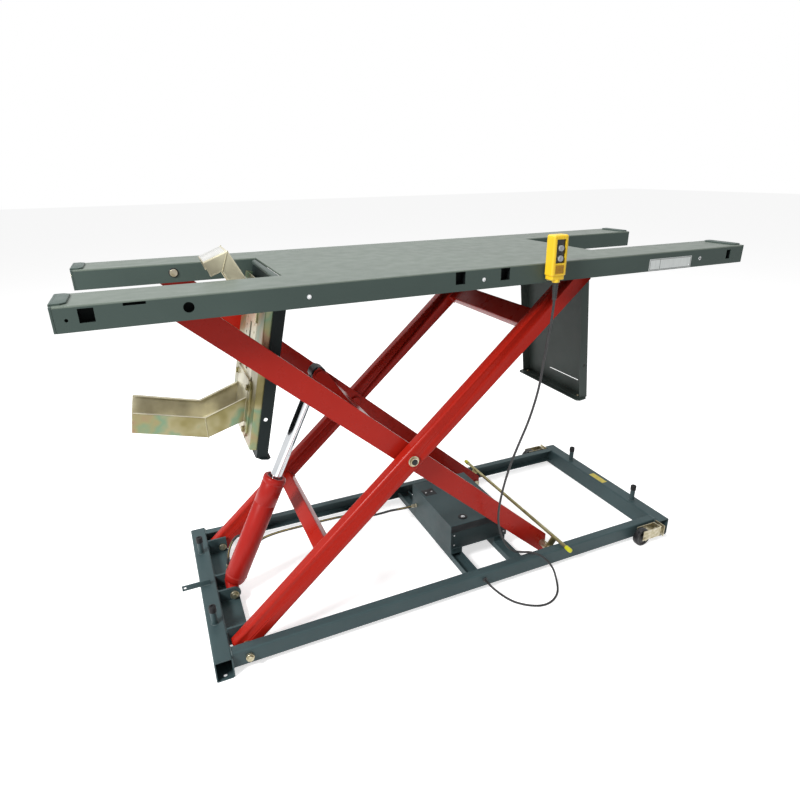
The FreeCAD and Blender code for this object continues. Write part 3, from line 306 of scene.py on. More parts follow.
slate = powder_coat("slate_powder_coat", (0.046, 0.076, 0.081))
tube_corner = 0.006
rail_bend = 0.007
for node, outer_x in (("base_front_beam", (-0.897, -0.841)), ("base_rear_beam", (0.897, 0.953))):
    beam = copy_of(node)

    def on_outside(edge, outer_x=outer_x):
        x, z = edge.verts[0].co.x, edge.verts[0].co.z
        return (runs_along(edge, (0, 1, 0), 0.3) and min(abs(x - v) for v in outer_x) < 1e-4
                and min(abs(z), abs(z - 0.078)) < 1e-4)
    bend_edges(beam, on_outside, tube_corner)
    finished(node + "_tube", beam, "base", slate, [node], ease=0.0009)
for node in ("base_rail_near", "base_rail_far"):
    side = -1 if node.endswith("near") else 1
    rail = copy_of(node)
    square_cuts(rail, (1, 0, 0), [(-0.789, 0, 0), (0.066, 0, 0)])
    one_skin(rail, (0, 0, 1), [(0, 0, 0.074), (0, 0, 0.026)])
    square_cuts(rail, (1, 0, 0), [])

    def on_web(edge, side=side):
        y, z = edge.verts[0].co.y * side, edge.verts[0].co.z
        return runs_along(edge, (1, 0, 0), 0.02) and y > 0.3619 and not 0.003 < z < 0.07
    bend_edges(rail, on_web, rail_bend)
    finished(node + "_channel", rail, "base", slate, [node], ease=0.0007)
kept("cross_channels", "base_cross_rails", "base", slate, 0.0008)

# Foot tray and its pins
# A plate between gussets behind the front beam, with two lugs for the cylinder foot.
# Welded in; the arms and the cylinder turn on zinc plated bolts and a turned pin.
kept("foot_tray_plates", "foot_tray", "base", slate, 0.0009)


def joined(grid, shape, turn=None):
    """Adds a finished shape to a piece, after a turn when one is given."""
    if turn is not None:
        bmesh.ops.transform(shape, matrix=turn, verts=shape.verts)
    bmesh.ops.recalc_face_normals(shape, faces=shape.faces)
    mesh = bpy.data.meshes.new("shape")
    shape.to_mesh(mesh)
    shape.free()
    grid.from_mesh(mesh)
    bpy.data.meshes.remove(mesh)


def facing(centre, axis):
    """The turn and place of a shape drawn upright about the origin."""
    turn = Vector((0, 0, 1)).rotation_difference(Vector(axis)).to_matrix().to_4x4()
    return Matrix.Translation(centre) @ turn


def turned(grid, centre, axis, profile, steps=40):
    """A turned shape: the profile gives radius and height pairs along the axis, in metres."""
    shape = bmesh.new()
    ring = [shape.verts.new((radius, 0.0, height)) for radius, height in profile]
    chain = [shape.edges.new(pair) for pair in zip(ring, ring[1:])]
    bmesh.ops.spin(shape, geom=ring + chain, cent=(0, 0, 0), axis=(0, 0, 1), angle=2 * math.pi,
                   steps=steps, use_merge=True)
    bmesh.ops.remove_doubles(shape, verts=shape.verts, dist=1e-7)
    joined(grid, shape, facing(centre, axis))


def bevelled(grid, edges, width, steps):
    """Rounds some edges of a shape."""
    bmesh.ops.bevel(grid, geom=edges, offset=width, affect="EDGES", segments=steps, profile=0.5,
                    material=-1)


def hexagon(grid, centre, axis, across, height):
    """A bolt head or nut with its corners chamfered; across is over the flats."""
    shape = bmesh.new()
    bmesh.ops.create_cone(shape, cap_ends=True, cap_tris=False, segments=6,
                          radius1=across / math.sqrt(3), radius2=across / math.sqrt(3),
                          depth=height)
    rims = [edge for edge in shape.edges if abs(edge.verts[0].co.z - edge.verts[1].co.z) < 1e-9]
    bevelled(shape, rims, height * 0.12, 2)
    joined(grid, shape, facing(Vector(centre) + Vector(axis) * height / 2, axis))


zinc_plate = surface("zinc_plated_bolts", "yellow_zinc", (0.42, 0.38, 0.27), 0.3, 0.9,
                     spots=((70.0, 5.0), (0.3, (0.3, 0.26, 0.15)), (0.55, (0.46, 0.42, 0.3)),
                            (0.75, (0.55, 0.52, 0.44))), sheen=((160.0,), 0.24, 0.42))
kept("frame_pivot_bolts", "base_pivot_pins", "base", zinc_plate, 0.0011)
heads = bmesh.new()
for side in (-1, 1):
    hexagon(heads, (-0.789, side * 0.3719, 0.05), (0, side, 0), 0.019, 0.006)
turned(heads, (-0.789, -0.0625, 0.05), (0, -1, 0),
       [(0, 0), (0.009, 0), (0.009, 0.002), (0.0075, 0.0032), (0, 0.0032)])
finished("frame_bolt_heads", heads, "base", zinc_plate)


def weld_metal(name, base, slot):
    """Paint over a weld bead, with the ripples of the bead showing."""
    return surface(name, slot, base, 0.45, spots=((90.0,), (0.3, tuple(v * 0.8 for v in base)),
                                                  (0.7, base)),
                   sheen=((140.0,), 0.36, 0.6), bumps=((210.0, 3.0), 0.7, 0.001))


def beads(name, body, look, runs, radius=0.0022):
    """Weld beads: each run is a list of points, closed into a ring when it ends where it began."""
    curve = bpy.data.curves.new(name, "CURVE")
    curve.dimensions = "3D"
    curve.bevel_depth = radius
    curve.bevel_resolution = 2
    curve.use_fill_caps = True
    for run in runs:
        closed = run[0] == run[-1]
        spline = curve.splines.new("POLY")
        points = run[:-1] if closed else run
        spline.points.add(len(points) - 1)
        for point, place in zip(spline.points, points):
            point.co = (*place, 1.0)
        spline.use_cyclic_u = closed
    return put(name, curve, body, look)


slate_weld = weld_metal("slate_over_welds", (0.06, 0.092, 0.096), "frame_paint")
frame_runs = []
for side in (-1, 1):
    outer, inner = side * 0.362, side * 0.329
    for x in (-0.841, 0.897):
        frame_runs.append([(x, inner, 0.078), (x, outer, 0.078), (x, outer, 0.022)])
    for x in (0.024, 0.074, 0.222, 0.272):
        frame_runs.append([(x, inner, 0.048), (x, inner, 0.026)])
for y in (-0.262, -0.254, -0.05, -0.042, 0.042, 0.05, 0.254, 0.262):
    frame_runs.append([(-0.841, y, 0.076), (-0.841, y, 0.028)])
for y in (0.0, 0.005):
    frame_runs.append([(-0.897, y, 0.078), (-0.862, y, 0.078)])
beads("frame_welds", "base", slate_weld, frame_runs)

# Stop posts
# Four round posts stand on the beams; the lowered platform rests on their rubber caps.
# Each is welded to its beam with a bead round its foot.
post_caps = surface("post_cap_rubber", "black_rubber", (0.008, 0.008, 0.009), 0.5, specular=0.25,
                    spots=((80.0,), (0.3, (0.007, 0.007, 0.008)), (0.7, (0.016, 0.016, 0.018))),
                    sheen=((200.0,), 0.45, 0.68))
stems, tops, foot_rings = bmesh.new(), bmesh.new(), []
for x in (-0.872, 0.922):
    for y in (-0.205, 0.205):
        turned(stems, (x, y, 0.078), (0, 0, 1), [(0, 0), (0.01, 0), (0.01, 0.06), (0, 0.06)])
        turned(tops, (x, y, 0.138), (0, 0, 1),
               [(0.0102, -0.01), (0.012, -0.01), (0.012, 0.0075), (0.0108, 0.0105), (0.008, 0.012),
                (0.0052, 0.012), (0.0046, 0.009), (0, 0.0088)], 48)
        foot_rings.append([(x + 0.0108 * math.cos(step * math.pi / 10),
                            y + 0.0108 * math.sin(step * math.pi / 10), 0.0785)
                           for step in range(20)])
        foot_rings[-1].append(foot_rings[-1][0])
finished("post_stems", stems, "base", slate, ["support_posts"])
finished("post_tops", tops, "base", post_caps, ["support_posts"])
beads("post_welds", "base", slate_weld, foot_rings, 0.0018)

# Casters
# Swivel casters bolted to plates on the rear beam ends, folded flat in the picture.
# Pressed zinc plated forks hold black wheels on bolted axles.
kept("caster_mounts", "caster_plates", "base", zinc_plate, 0.0012)
wheel_rubber = surface("wheel_nylon", "black_plastic", (0.01, 0.01, 0.011), 0.3, specular=0.3,
                       spots=((55.0,), (0.3, (0.008, 0.008, 0.009)), (0.7, (0.018, 0.018, 0.019))),
                       sheen=((150.0,), 0.22, 0.42))
for end, side in (("near", -1), ("far", 1)):
    fork = "caster_fork_" + end
    kept(fork + "_pressing", fork, fork, zinc_plate, 0.0014)
    wheel = "caster_wheel_" + end
    tyre = bmesh.new()
    turned(tyre, (0.8, side * 0.392, 0.0375), (0, 1, 0),
           [(0.0052, -0.0125), (0.012, -0.0125), (0.0135, -0.0105), (0.026, -0.0085),
            (0.0285, -0.0115), (0.0335, -0.0125), (0.0362, -0.0108), (0.0375, -0.007),
            (0.0375, 0.007), (0.0362, 0.0108), (0.0335, 0.0125), (0.0285, 0.0115), (0.026, 0.0085),
            (0.0135, 0.0105), (0.012, 0.0125), (0.0052, 0.0125), (0.0052, -0.0125)], 56)
    finished(wheel + "_turned", tyre, wheel, wheel_rubber, [wheel])
    nuts = bmesh.new()
    for outward in (-1, 1):
        hexagon(nuts, (0.8, side * 0.392 + outward * 0.019, 0.0375), (0, outward, 0), 0.013,
                0.0045)
    finished(fork + "_nuts", nuts, fork, zinc_plate)

# Power unit
# The pump, its motor and the oil tank stand on the cross channels under a folded steel cover.
# The cover is slate on its sides; its near end has a dark band and a set-in panel.
cast_black = surface("cast_black_enamel", "black_plastic", (0.01, 0.012, 0.013), 0.45,
                     specular=0.25, spots=((30.0,), (0.3, (0.008, 0.009, 0.01)),
                                           (0.7, (0.017, 0.019, 0.021))),
                     bumps=((260.0,), 0.35, 0.0004))


def finish_node(node, look):
    """Gives a solid that stays as it is its own material."""
    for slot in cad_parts[node].material_slots:
        slot.material = look[0]


black_casting = (cast_black[0], "black_cast")
for node in ("electric_motor", "gear_pump"):
    finish_node(node, cast_black)
tank_sheet = powder_coat("tank_enamel", (0.04, 0.046, 0.05), 0.35, slot="tank_sheet")
kept("oil_tank_shell", "oil_tank", "base", tank_sheet, 0.001)
kept("unit_cover", "power_unit_cover", "base", slate, 0.0012, 3)


def slab(grid, low, high, ease=0.0, steps=2, turn=None):
    """A plate between two corners, its edges eased."""
    shape = bmesh.new()
    bmesh.ops.create_cube(shape, size=1.0)
    low, high = Vector(low), Vector(high)
    bmesh.ops.scale(shape, vec=high - low, verts=shape.verts)
    bmesh.ops.translate(shape, vec=(low + high) / 2, verts=shape.verts)
    if ease:
        bevelled(shape, shape.edges[:], ease, steps)
    joined(grid, shape, turn)


band = bmesh.new()
slab(band, (0.0175, -0.1915, 0.156), (0.2695, -0.1895, 0.1845), 0.0008)
finished("unit_end_band", band, "base", cast_black)
panel_slate = powder_coat("panel_powder_coat", (0.02, 0.032, 0.034), 0.5, slot="tank_sheet")
panel = bmesh.new()
slab(panel, (0.022, -0.1912, 0.084), (0.267, -0.1895, 0.155), 0.0006)
slab(panel, (0.0175, -0.1922, 0.092), (0.0255, -0.1895, 0.153), 0.0008)
finished("unit_end_panel", panel, "base", panel_slate)
inset = bmesh.new()
turned(inset, (0.091, -0.147, 0.186), (0, 0, 1),
       [(0.0085, 0.0), (0.0185, 0.0), (0.0185, 0.0012), (0.0165, 0.0022), (0.0105, 0.0022),
        (0.0085, 0.0006), (0.0085, 0.0)], 56)
slab(inset, (0.026, 0.047, 0.1858), (0.078, 0.097, 0.1866), 0.0003)
slab(inset, (0.192, 0.1, 0.1858), (0.222, 0.13, 0.1866), 0.0003)
finished("unit_top_fittings", inset, "base", cast_black)
button_steel = surface("brushed_steel", "bright_steel", (0.55, 0.56, 0.57), 0.32, 1.0,
                       spots=((60.0, 4.0, (1.0, 12.0, 1.0)), (0.3, (0.44, 0.45, 0.46)),
                              (0.7, (0.6, 0.61, 0.62))), sheen=((110.0,), 0.22, 0.45))
plug = bmesh.new()
turned(plug, (0.091, -0.147, 0.186), (0, 0, 1),
       [(0, 0), (0.0086, 0), (0.0086, 0.0011), (0.007, 0.002), (0, 0.0024)], 40)
for x in (0.038, 0.064):
    turned(plug, (x, 0.072, 0.1864), (0, 0, 1),
           [(0, 0), (0.0042, 0), (0.0042, 0.0012), (0.0026, 0.0022), (0, 0.0024)], 24)
for x in (0.03, 0.257):
    for z in (0.098, 0.142):
        turned(plug, (x, -0.1911, z), (0, -1, 0),
               [(0, 0), (0.0038, 0), (0.0034, 0.0012), (0.0018, 0.0018), (0, 0.0018)], 24)
finished("unit_screws", plug, "base", button_steel)

# Hydraulic hose
# A black rubber hose with a yellow marking line, crimped into steel ends.
# It runs from the pump under the cover to the fitting at the foot of the cylinder.
hose_corners = [(-789, 66, 70), (-788, 67, 120), (-770, 92, 160), (-734, 146, 158),
                (-710, 190, 112), (-694, 222, 48), (-674, 256, 6), (-632, 302, 6), (-560, 320, 6),
                (-450, 321, 6), (-300, 321, 6), (-210, 310, 6), (-150, 256, 14), (-122, 196, 54),
                (-92, 146, 92), (-46, 120, 104), (16, 120, 104)]
hose_radius = 0.005
hose_curve = spline_through("hydraulic_hose_tube", hose_corners, hose_radius)
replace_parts(put("hydraulic_hose_tube", hose_curve, "base", rubber), "hydraulic_hose")
marking = surface("hose_marking", "yellow_plastic", (0.55, 0.42, 0.1), 0.55,
                  spots=((60.0,), (0.35, (0.34, 0.27, 0.09)), (0.65, (0.6, 0.47, 0.12))))
line_corners = [(x, y - 3.2, z + 3.2) for x, y, z in hose_corners]
line_curve = spline_through("hose_line", line_corners, 0.0011)
put("hose_line", line_curve, "base", marking)
crimps = bmesh.new()
turned(crimps, (-0.789, 0.066, 0.07), (0, 0, 1),
       [(0, 0), (0.0075, 0), (0.0078, 0.003), (0.007, 0.005), (0.0074, 0.008), (0.0066, 0.011),
        (0.007, 0.022), (0.0062, 0.024), (0, 0.024)])
turned(crimps, (0.016, 0.12, 0.104), (-1, 0, 0),
       [(0, 0), (0.0085, 0), (0.0085, 0.004), (0.007, 0.006), (0.0074, 0.012), (0.0066, 0.018),
        (0.006, 0.026), (0, 0.026)])
slab(crimps, (-0.798, 0.058, 0.041), (-0.78, 0.076, 0.07), 0.0012)
finished("hose_ends", crimps, "base", zinc_plate, ["hydraulic_hose"])
grommet = bmesh.new()
turned(grommet, (0.066, -0.354, 0.05), (0, -1, 0),
       [(0, 0), (0.0044, 0), (0.0044, 0.008), (0.009, 0.0082), (0.009, 0.0108), (0.0062, 0.013),
        (0.0045, 0.013), (0, 0.013)], 40)
finished("grommet_rubber", grommet, "base", rubber, ["cord_grommet"])

# Outer arms
# Two long box tubes with rounded corners, tied by two cross tubes, all welded and red.
# They turn on the base bolts, cross the inner arms at the middle and end in rollers.
red = powder_coat("red_powder_coat", (0.37, 0.014, 0.007), 0.26, 0.07, 0.16, "red_paint")
red_weld = weld_metal("red_over_welds", (0.38, 0.016, 0.009), "red_paint")
arm_slope = math.atan2(0.527, 0.592)
up_arm = Vector((math.cos(arm_slope), 0.0, math.sin(arm_slope)))
across_arm = Vector((-up_arm.z, 0.0, up_arm.x))
down_arm = Vector((math.cos(arm_slope), 0.0, -math.sin(arm_slope)))
middle = Vector((-0.197, 0.0, 0.577))
for end, side in (("near", -1), ("far", 1)):
    arm = copy_of("outer_arm_" + end)
    square_cuts(arm, up_arm, [middle, middle - up_arm * 0.7926, middle + up_arm * 0.8428])

    def tube_edges(edge, side=side):
        place = edge.verts[0].co
        y = place.y * side
        aside = (place - middle).dot(across_arm)
        outer = min(abs(y - 0.268), abs(y - 0.308)) < 1e-4 and abs(abs(aside) - 0.036) < 1e-3
        return outer and runs_along(edge, up_arm, 0.02)
    bend_edges(arm, tube_edges, 0.009, 6)
    finished("outer_arm_tube_" + end, arm, "outer_arms", red, ["outer_arm_" + end], ease=0.001)
ties = copy_of("outer_cross_tubes")


def tie_corner(edge):
    run = edge.verts[0].co - middle
    along = run.dot(up_arm)
    aside = run.dot(across_arm)
    corners = ((-0.443, -0.034), (-0.443, 0.006), (-0.391, -0.034), (-0.391, 0.006),
               (0.583, -0.036), (0.583, 0.0), (0.653, -0.036), (0.653, 0.0))
    return (runs_along(edge, (0, 1, 0), 0.3)
            and any(math.hypot(along - a, aside - b) < 4e-4 for a, b in corners))


bend_edges(ties, tie_corner, 0.004)
finished("outer_tie_tubes", ties, "outer_arms", red, ["outer_cross_tubes"])


def on_arm(direction, along, aside, y):
    """A point by its run along an arm from the middle pivot and its rise across it."""
    across = Vector((-direction.z, 0.0, direction.x))
    return tuple(middle + direction * along + across * aside + Vector((0.0, y, 0.0)))


def weld_rings(direction, half, sections):
    """Closed runs round tubes that meet both arms; a section is its start, end, low and high."""
    return [[on_arm(direction, along, aside, y) for along, aside in
             ((start, low), (end, low), (end, high), (start, high), (start, low))]
            for start, end, low, high in sections for y in (-half, half)]


outer_runs = weld_rings(up_arm, 0.2675, ((-0.443, -0.391, -0.034, 0.006),
                                         (0.583, 0.653, -0.036, 0.0)))
beads("outer_arm_welds", "outer_arms", red_weld, outer_runs, 0.0026)

# Inner arms
# Two flat plates with a box tie, a flat tie and two ribs that hold the rod eye between them.
# Their upper ends turn on the deck pins and their lower ends carry the base rollers.
for end in ("near", "far"):
    kept("inner_arm_plate_" + end, "inner_arm_" + end, "inner_arms", red, 0.0012)
kept("inner_ties", "inner_cross_members", "inner_arms", red, 0.0012)
kept("rod_ribs", "rod_eye_ribs", "inner_arms", red, 0.001)
inner_runs = weld_rings(down_arm, 0.2535, ((-0.17, -0.11, -0.02, 0.02),
                                           (0.668, 0.718, -0.036, -0.016)))
for y in (-0.032, -0.024, 0.024, 0.032):
    inner_runs.append([on_arm(down_arm, -0.1705, -0.018, y), on_arm(down_arm, -0.1705, 0.018, y)])
beads("inner_arm_welds", "inner_arms", red_weld, inner_runs, 0.0024)

# Middle pivot
# A bolt through each pair of arms, in red bosses, with a zinc washer and a black nut.
kept("middle_bosses", "centre_pivot_bolts", "outer_arms", red, 0.0016, 3)
washers, black_nuts = bmesh.new(), bmesh.new()
for side in (-1, 1):
    face = middle + Vector((0.0, side * 0.312, 0.0))
    turned(washers, face, (0, side, 0), [(0, 0), (0.0185, 0), (0.0185, 0.0018), (0.0176, 0.0026),
                                         (0.0105, 0.0026), (0, 0.0026)], 48)
    turned(washers, face + Vector((0, side * 0.0026, 0)), (0, side, 0),
           [(0.01, 0), (0.0148, 0), (0.014, 0.0056), (0.012, 0.0064), (0.01, 0.006), (0.01, 0)],
           48)
    hexagon(black_nuts, face + Vector((0, side * 0.003, 0)), (0, side, 0), 0.0185, 0.0088)
finished("middle_washers", washers, "outer_arms", zinc_plate)
finished("middle_nuts", black_nuts, "outer_arms", black_casting)

# Rollers
# Turned steel rollers at the arm ends: the lower pair runs in the floor rails, the upper
# pair under the deck. Each turns on a fixed axle with a collar and a retaining ring.
for node, body in (("upper_roller_axles", "outer_arms"), ("lower_roller_axles", "inner_arms")):
    kept(node + "_turned", node, body, zinc_plate, 0.0009)
for level, radius, inner, outer in (("upper", 0.0206, 0.316, 0.346),
                                    ("lower", 0.0235, 0.333, 0.355)):
    for end, side in (("near", -1), ("far", 1)):
        node = f"{level}_roller_{end}"
        node_low, node_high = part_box(node)
        hub = (node_low + node_high) / 2
        hub.y = side * inner
        wide = outer - inner
        roller = bmesh.new()
        turned(roller, hub, (0, side, 0), [(0.0102, 0), (radius - 0.009, 0),
                                           (radius - 0.0082, 0.0012), (radius - 0.006, 0.0012),
                                           (radius - 0.0052, 0), (radius - 0.0014, 0),
                                           (radius, 0.0014), (radius, wide - 0.0014),
                                           (radius - 0.0014, wide), (radius - 0.0052, wide),
                                           (radius - 0.006, wide - 0.0012),
                                           (radius - 0.0082, wide - 0.0012),
                                           (radius - 0.009, wide), (0.0102, wide), (0.0102, 0)],
               56)
        finished(node + "_turned", roller, node, button_steel, [node])

# Cylinder
# A welded barrel in red with a rounded foot, a screwed gland and a hard chromed rod.
# The barrel turns on the foot pin; the rod ends in a black eye between the ribs.
slope = math.radians(63.932)
up_cylinder = Vector((math.cos(slope), 0.0, math.sin(slope)))
foot = Vector((-0.789, 0.0, 0.05))
cylinder_red = powder_coat("red_cylinder_paint", (0.34, 0.012, 0.008), 0.32, 0.14,
                           slot="red_paint")
barrel = bmesh.new()
turned(barrel, foot, up_cylinder, [(0, 0.0175), (0.027, 0.0175), (0.033, 0.0215), (0.0365, 0.03),
                                   (0.039, 0.046), (0.039, 0.346), (0.0386, 0.3466),
                                   (0.0386, 0.3474), (0.039, 0.348), (0.039, 0.427),
                                   (0.0384, 0.428), (0.0384, 0.4295), (0.04, 0.4315),
                                   (0.0408, 0.438), (0.0404, 0.4455), (0.0385, 0.4505),
                                   (0.035, 0.453), (0.0275, 0.453), (0.0262, 0.4495),
                                   (0.0203, 0.4495), (0.0203, 0.4355), (0.033, 0.4345),
                                   (0.033, 0.04), (0, 0.04)], 72)
turned(barrel, foot - Vector((0, 0.038, 0)), (0, 1, 0),
       [(0.0122, 0), (0.0205, 0), (0.022, 0.0015), (0.022, 0.0745), (0.0205, 0.076),
        (0.0122, 0.076), (0.0122, 0)], 48)
finished("barrel_shell", barrel, "barrel", cylinder_red, ["cylinder_barrel"])
rings, wiper = bmesh.new(), bmesh.new()
turned(rings, foot + up_cylinder * 0.048, up_cylinder,
       [(0.0372, -0.0042), (0.0392, -0.003), (0.0399, 0.0), (0.0392, 0.003), (0.0372, 0.0042),
        (0.0372, -0.0042)], 72)
finished("barrel_seam", rings, "barrel",
         weld_metal("red_over_seams", (0.4, 0.017, 0.01), "red_paint"))
turned(wiper, foot + up_cylinder * 0.449, up_cylinder,
       [(0.0204, 0), (0.0264, 0), (0.0264, 0.0012), (0.0236, 0.0022), (0.0214, 0.0034),
        (0.0204, 0.0034), (0.0204, 0)], 56)
finished("rod_wiper", wiper, "barrel", cast_black)
chrome = surface("hard_chrome", "bright_steel", (0.68, 0.7, 0.72), 0.1, 1.0,
                 spots=((12.0,), (0.3, (0.6, 0.62, 0.64)), (0.7, (0.74, 0.76, 0.78))),
                 sheen=((90.0, 3.0, (1.0, 1.0, 14.0)), 0.05, 0.2))
finish_node("cylinder_rod", chrome)
kept("rod_eye_block", "rod_eye", "rod", black_casting, 0.0014, 3)

# Safety bar
# A round bar across the frame on two links, zinc plated olive yellow, with plastic caps.
# It swings about the lower roller axles and drops behind the stops of the rails.
olive = surface("olive_zinc", "yellow_zinc", (0.26, 0.23, 0.1), 0.38, 0.75,
                spots=((24.0, 6.0), (0.3, (0.17, 0.15, 0.06)), (0.5, (0.29, 0.26, 0.12)),
                       (0.72, (0.42, 0.39, 0.22))), sheen=((90.0,), 0.3, 0.5))
kept("safety_bar_round", "safety_bar", "safety_bar", olive, 0.001)


def moulded(name, base, rough=0.4, slot="yellow_plastic"):
    """Moulded plastic: even colour, a fine texture and slight handling marks."""
    return surface(name, slot, base, rough,
                   spots=((14.0, 5.0), (0.3, tuple(value * 0.9 for value in base)),
                          (0.7, tuple(value * 1.05 for value in base))),
                   sheen=((120.0,), rough - 0.08, rough + 0.12),
                   bumps=((700.0, 2.0), 0.12, 0.0002))


yellow = moulded("yellow_moulded_plastic", (0.78, 0.51, 0.016))
cap_yellow = moulded("yellow_cap_plastic", (0.62, 0.62, 0.02))
bar_caps = bmesh.new()
for side in (-1, 1):
    turned(bar_caps, (0.423, side * 0.374, 0.09), (0, side, 0),
           [(0.0071, 0), (0.0084, 0), (0.009, 0.001), (0.009, 0.0235), (0.0082, 0.0268),
            (0.0058, 0.0286), (0, 0.029)], 40)
finished("safety_bar_end_caps", bar_caps, "safety_bar", cap_yellow, ["safety_bar_caps"])

# Deck
# One steel sheet folded down along its sides, with an open slot at each end for the wheels.
# The folds are rounded; the skirts below carry windows, access holes and small threaded holes.
# Painted light: the deck top gets a paler copy of the slate that its own folded skirts wear, for
# the light and sheen that fall on the top.
lit_deck_slate = powder_coat("deck_coat_painted_lighter", (0.1, 0.124, 0.104), 0.36, 0.06)
skirt_slate = powder_coat("skirt_powder_coat", (0.05, 0.072, 0.064), 0.42, 0.08)
deck_sheet = copy_of("deck_sheet")


def deck_folds(edge):
    y, z = edge.verts[0].co.y, edge.verts[0].co.z
    along = runs_along(edge, (1, 0, 0), 0.3) and min(abs(abs(y) - 0.36),
                                                     abs(abs(y) - 0.195)) < 1e-4
    return along and z > 1.1849


bend_edges(deck_sheet, deck_folds, 0.005, 5)
finished("deck_plate", deck_sheet, "platform", lit_deck_slate, ["deck_sheet"], ease=0.0006)
for node in ("side_skirt_near", "side_skirt_far", "slot_skirts"):
    kept(node + "_sheet", node, "platform", skirt_slate, 0.0006)
kept("roller_channels", "roller_tracks", "platform", skirt_slate, 0.0006)
kept("deck_pivot_lugs", "platform_pivot_lugs", "platform", skirt_slate, 0.001)

# Prong ends
# Caps welded into the four prong ends, each with a raised tab and a small zinc bolt.
kept("prong_caps", "end_caps", "platform", skirt_slate, 0.0012)


def plate(grid, corners, low, high, ease=0.0, turn=None):
    """An upright plate over an outline of x, y corners, its top edge eased."""
    shape = bmesh.new()
    base = shape.faces.new([shape.verts.new((x, y, low)) for x, y in corners])
    made = bmesh.ops.extrude_face_region(shape, geom=[base])
    top = [item for item in made["geom"] if isinstance(item, bmesh.types.BMVert)]
    bmesh.ops.translate(shape, vec=(0, 0, high - low), verts=top)
    if ease:
        rim = [edge for edge in shape.edges if min(vert.co.z for vert in edge.verts) > high - 1e-6]
        bevelled(shape, rim, ease, 3)
    joined(grid, shape, turn)


stops, cap_bolts = bmesh.new(), bmesh.new()
for x in (-1, 1):
    for y in (-1, 1):
        tab = [(1.099, 0.213), (1.099, 0.342), (1.078, 0.342), (1.066, 0.33), (1.066, 0.225),
               (1.078, 0.213)]
        plate(stops, [(x * a, y * b) for a, b in tab], 1.1846, 1.1896, 0.0022)
        low_y, high_y = sorted((y * 0.213, y * 0.342))
        low_x, high_x = sorted((x * 1.096, x * 1.102))
        slab(stops, (low_x, low_y, 1.136), (high_x, high_y, 1.189), 0.0018, 3)
        turned(cap_bolts, (x * 1.102, y * 0.2775, 1.158), (x, 0, 0),
               [(0, 0), (0.008, 0), (0.008, 0.0014), (0, 0.0014)], 32)
        hexagon(cap_bolts, (x * 1.1034, y * 0.2775, 1.158), (x, 0, 0), 0.0125, 0.0052)
finished("prong_stops", stops, "platform", skirt_slate)
finished("prong_bolts", cap_bolts, "platform", zinc_plate)

# Painted shade behind the holes
# Near-black open boxes behind the windows, the access holes and the slit are painted shade:
# they stand for the dark inside of the platform and sit against the inner faces of the skirts.
hole_shade_paint = powder_coat("hole_painted_shade", (0.01, 0.013, 0.013), 0.6, 0.1, 0.1, "black_plastic")
shade_boxes = bmesh.new()
for side in (-1, 1):
    face = side * 0.3571
    for x0, x1, z0, z1, deep in (
            (-1.046, -1.011, 1.143, 1.178, 0.03), (-0.085, -0.05, 1.144, 1.18, 0.03),
            (0.067, 0.102, 1.144, 1.18, 0.03), (1.015, 1.039, 1.141, 1.174, 0.024),
            (-0.825, -0.795, 1.141, 1.171, 0.024), (-1.076, -1.064, 1.147, 1.159, 0.012),
            (-0.954, -0.898, 1.17, 1.181, 0.02)):
        back = face - side * deep
        for low_place, high_place in (
                ((x0, back, z0), (x1, back + side * 0.001, z1)),
                ((x0 - 0.001, back, z0 - 0.001), (x0, face, z1 + 0.001)),
                ((x1, back, z0 - 0.001), (x1 + 0.001, face, z1 + 0.001)),
                ((x0, back, z0 - 0.001), (x1, face, z0)),
                ((x0, back, z1), (x1, face, z1 + 0.001))):
            slab(shade_boxes, [min(pair) for pair in zip(low_place, high_place)],
                 [max(pair) for pair in zip(low_place, high_place)])
finished("window_painted_shade", shade_boxes, "platform", hole_shade_paint)

# Deck pins
# Zinc pins with domed heads in the slots carry the inner arms; small pins hold the flaps.
kept("deck_pins", "platform_pins", "platform", zinc_plate, 0.0012, 3)
pin_rings = bmesh.new()
for side in (-1, 1):
    turned(pin_rings, (-0.81, side * 0.195, 1.156), (0, -side, 0),
           [(0.0122, 0), (0.0152, 0), (0.0152, 0.001), (0.0136, 0.002), (0.0122, 0.002),
            (0.0122, 0)], 44)
finished("deck_pin_rings", pin_rings, "platform", cast_black)
rivets = bmesh.new()
for side in (-1, 1):
    for x in (-0.515, 0.01, 0.886):
        turned(rivets, (x, side * 0.3598, 1.153), (0, side, 0),
               [(0.003, 0), (0.0062, 0), (0.006, 0.001), (0.0046, 0.0016), (0.003, 0.001),
                (0.003, 0)], 28)
finished("skirt_thread_rings", rivets, "platform", button_steel)

# Label plate
# A blank pale plate riveted to the near skirt towards the rear.
plate_grey = surface("label_aluminium", "label_white", (0.6, 0.62, 0.6), 0.45, 0.0,
                     spots=((40.0, 4.0, (6.0, 1.0, 1.0)), (0.3, (0.56, 0.59, 0.58)),
                            (0.7, (0.64, 0.67, 0.66))))
kept("label_sheet", "deck_label", "platform", plate_grey, 0.0002)
plate_ink = surface("label_border", "black_plastic", (0.1, 0.11, 0.11), 0.5,
                    spots=((90.0,), (0.3, (0.08, 0.09, 0.09)), (0.7, (0.14, 0.15, 0.15))))
border, pins = bmesh.new(), bmesh.new()
for x0, x1, z0, z1 in ((0.656, 0.842, 1.1615, 1.163), (0.656, 0.842, 1.129, 1.1305),
                       (0.656, 0.6575, 1.129, 1.163), (0.8405, 0.842, 1.129, 1.163),
                       (0.7, 0.7012, 1.129, 1.163)):
    slab(border, (x0, -0.3609, z0), (x1, -0.3604, z1))
finished("label_frame", border, "platform", plate_ink)
for x in (0.661, 0.837):
    for z in (1.133, 1.159):
        turned(pins, (x, -0.3606, z), (0, -1, 0),
               [(0, 0), (0.0017, 0), (0.0014, 0.0007), (0, 0.001)], 16)
finished("label_rivets", pins, "platform", button_steel)
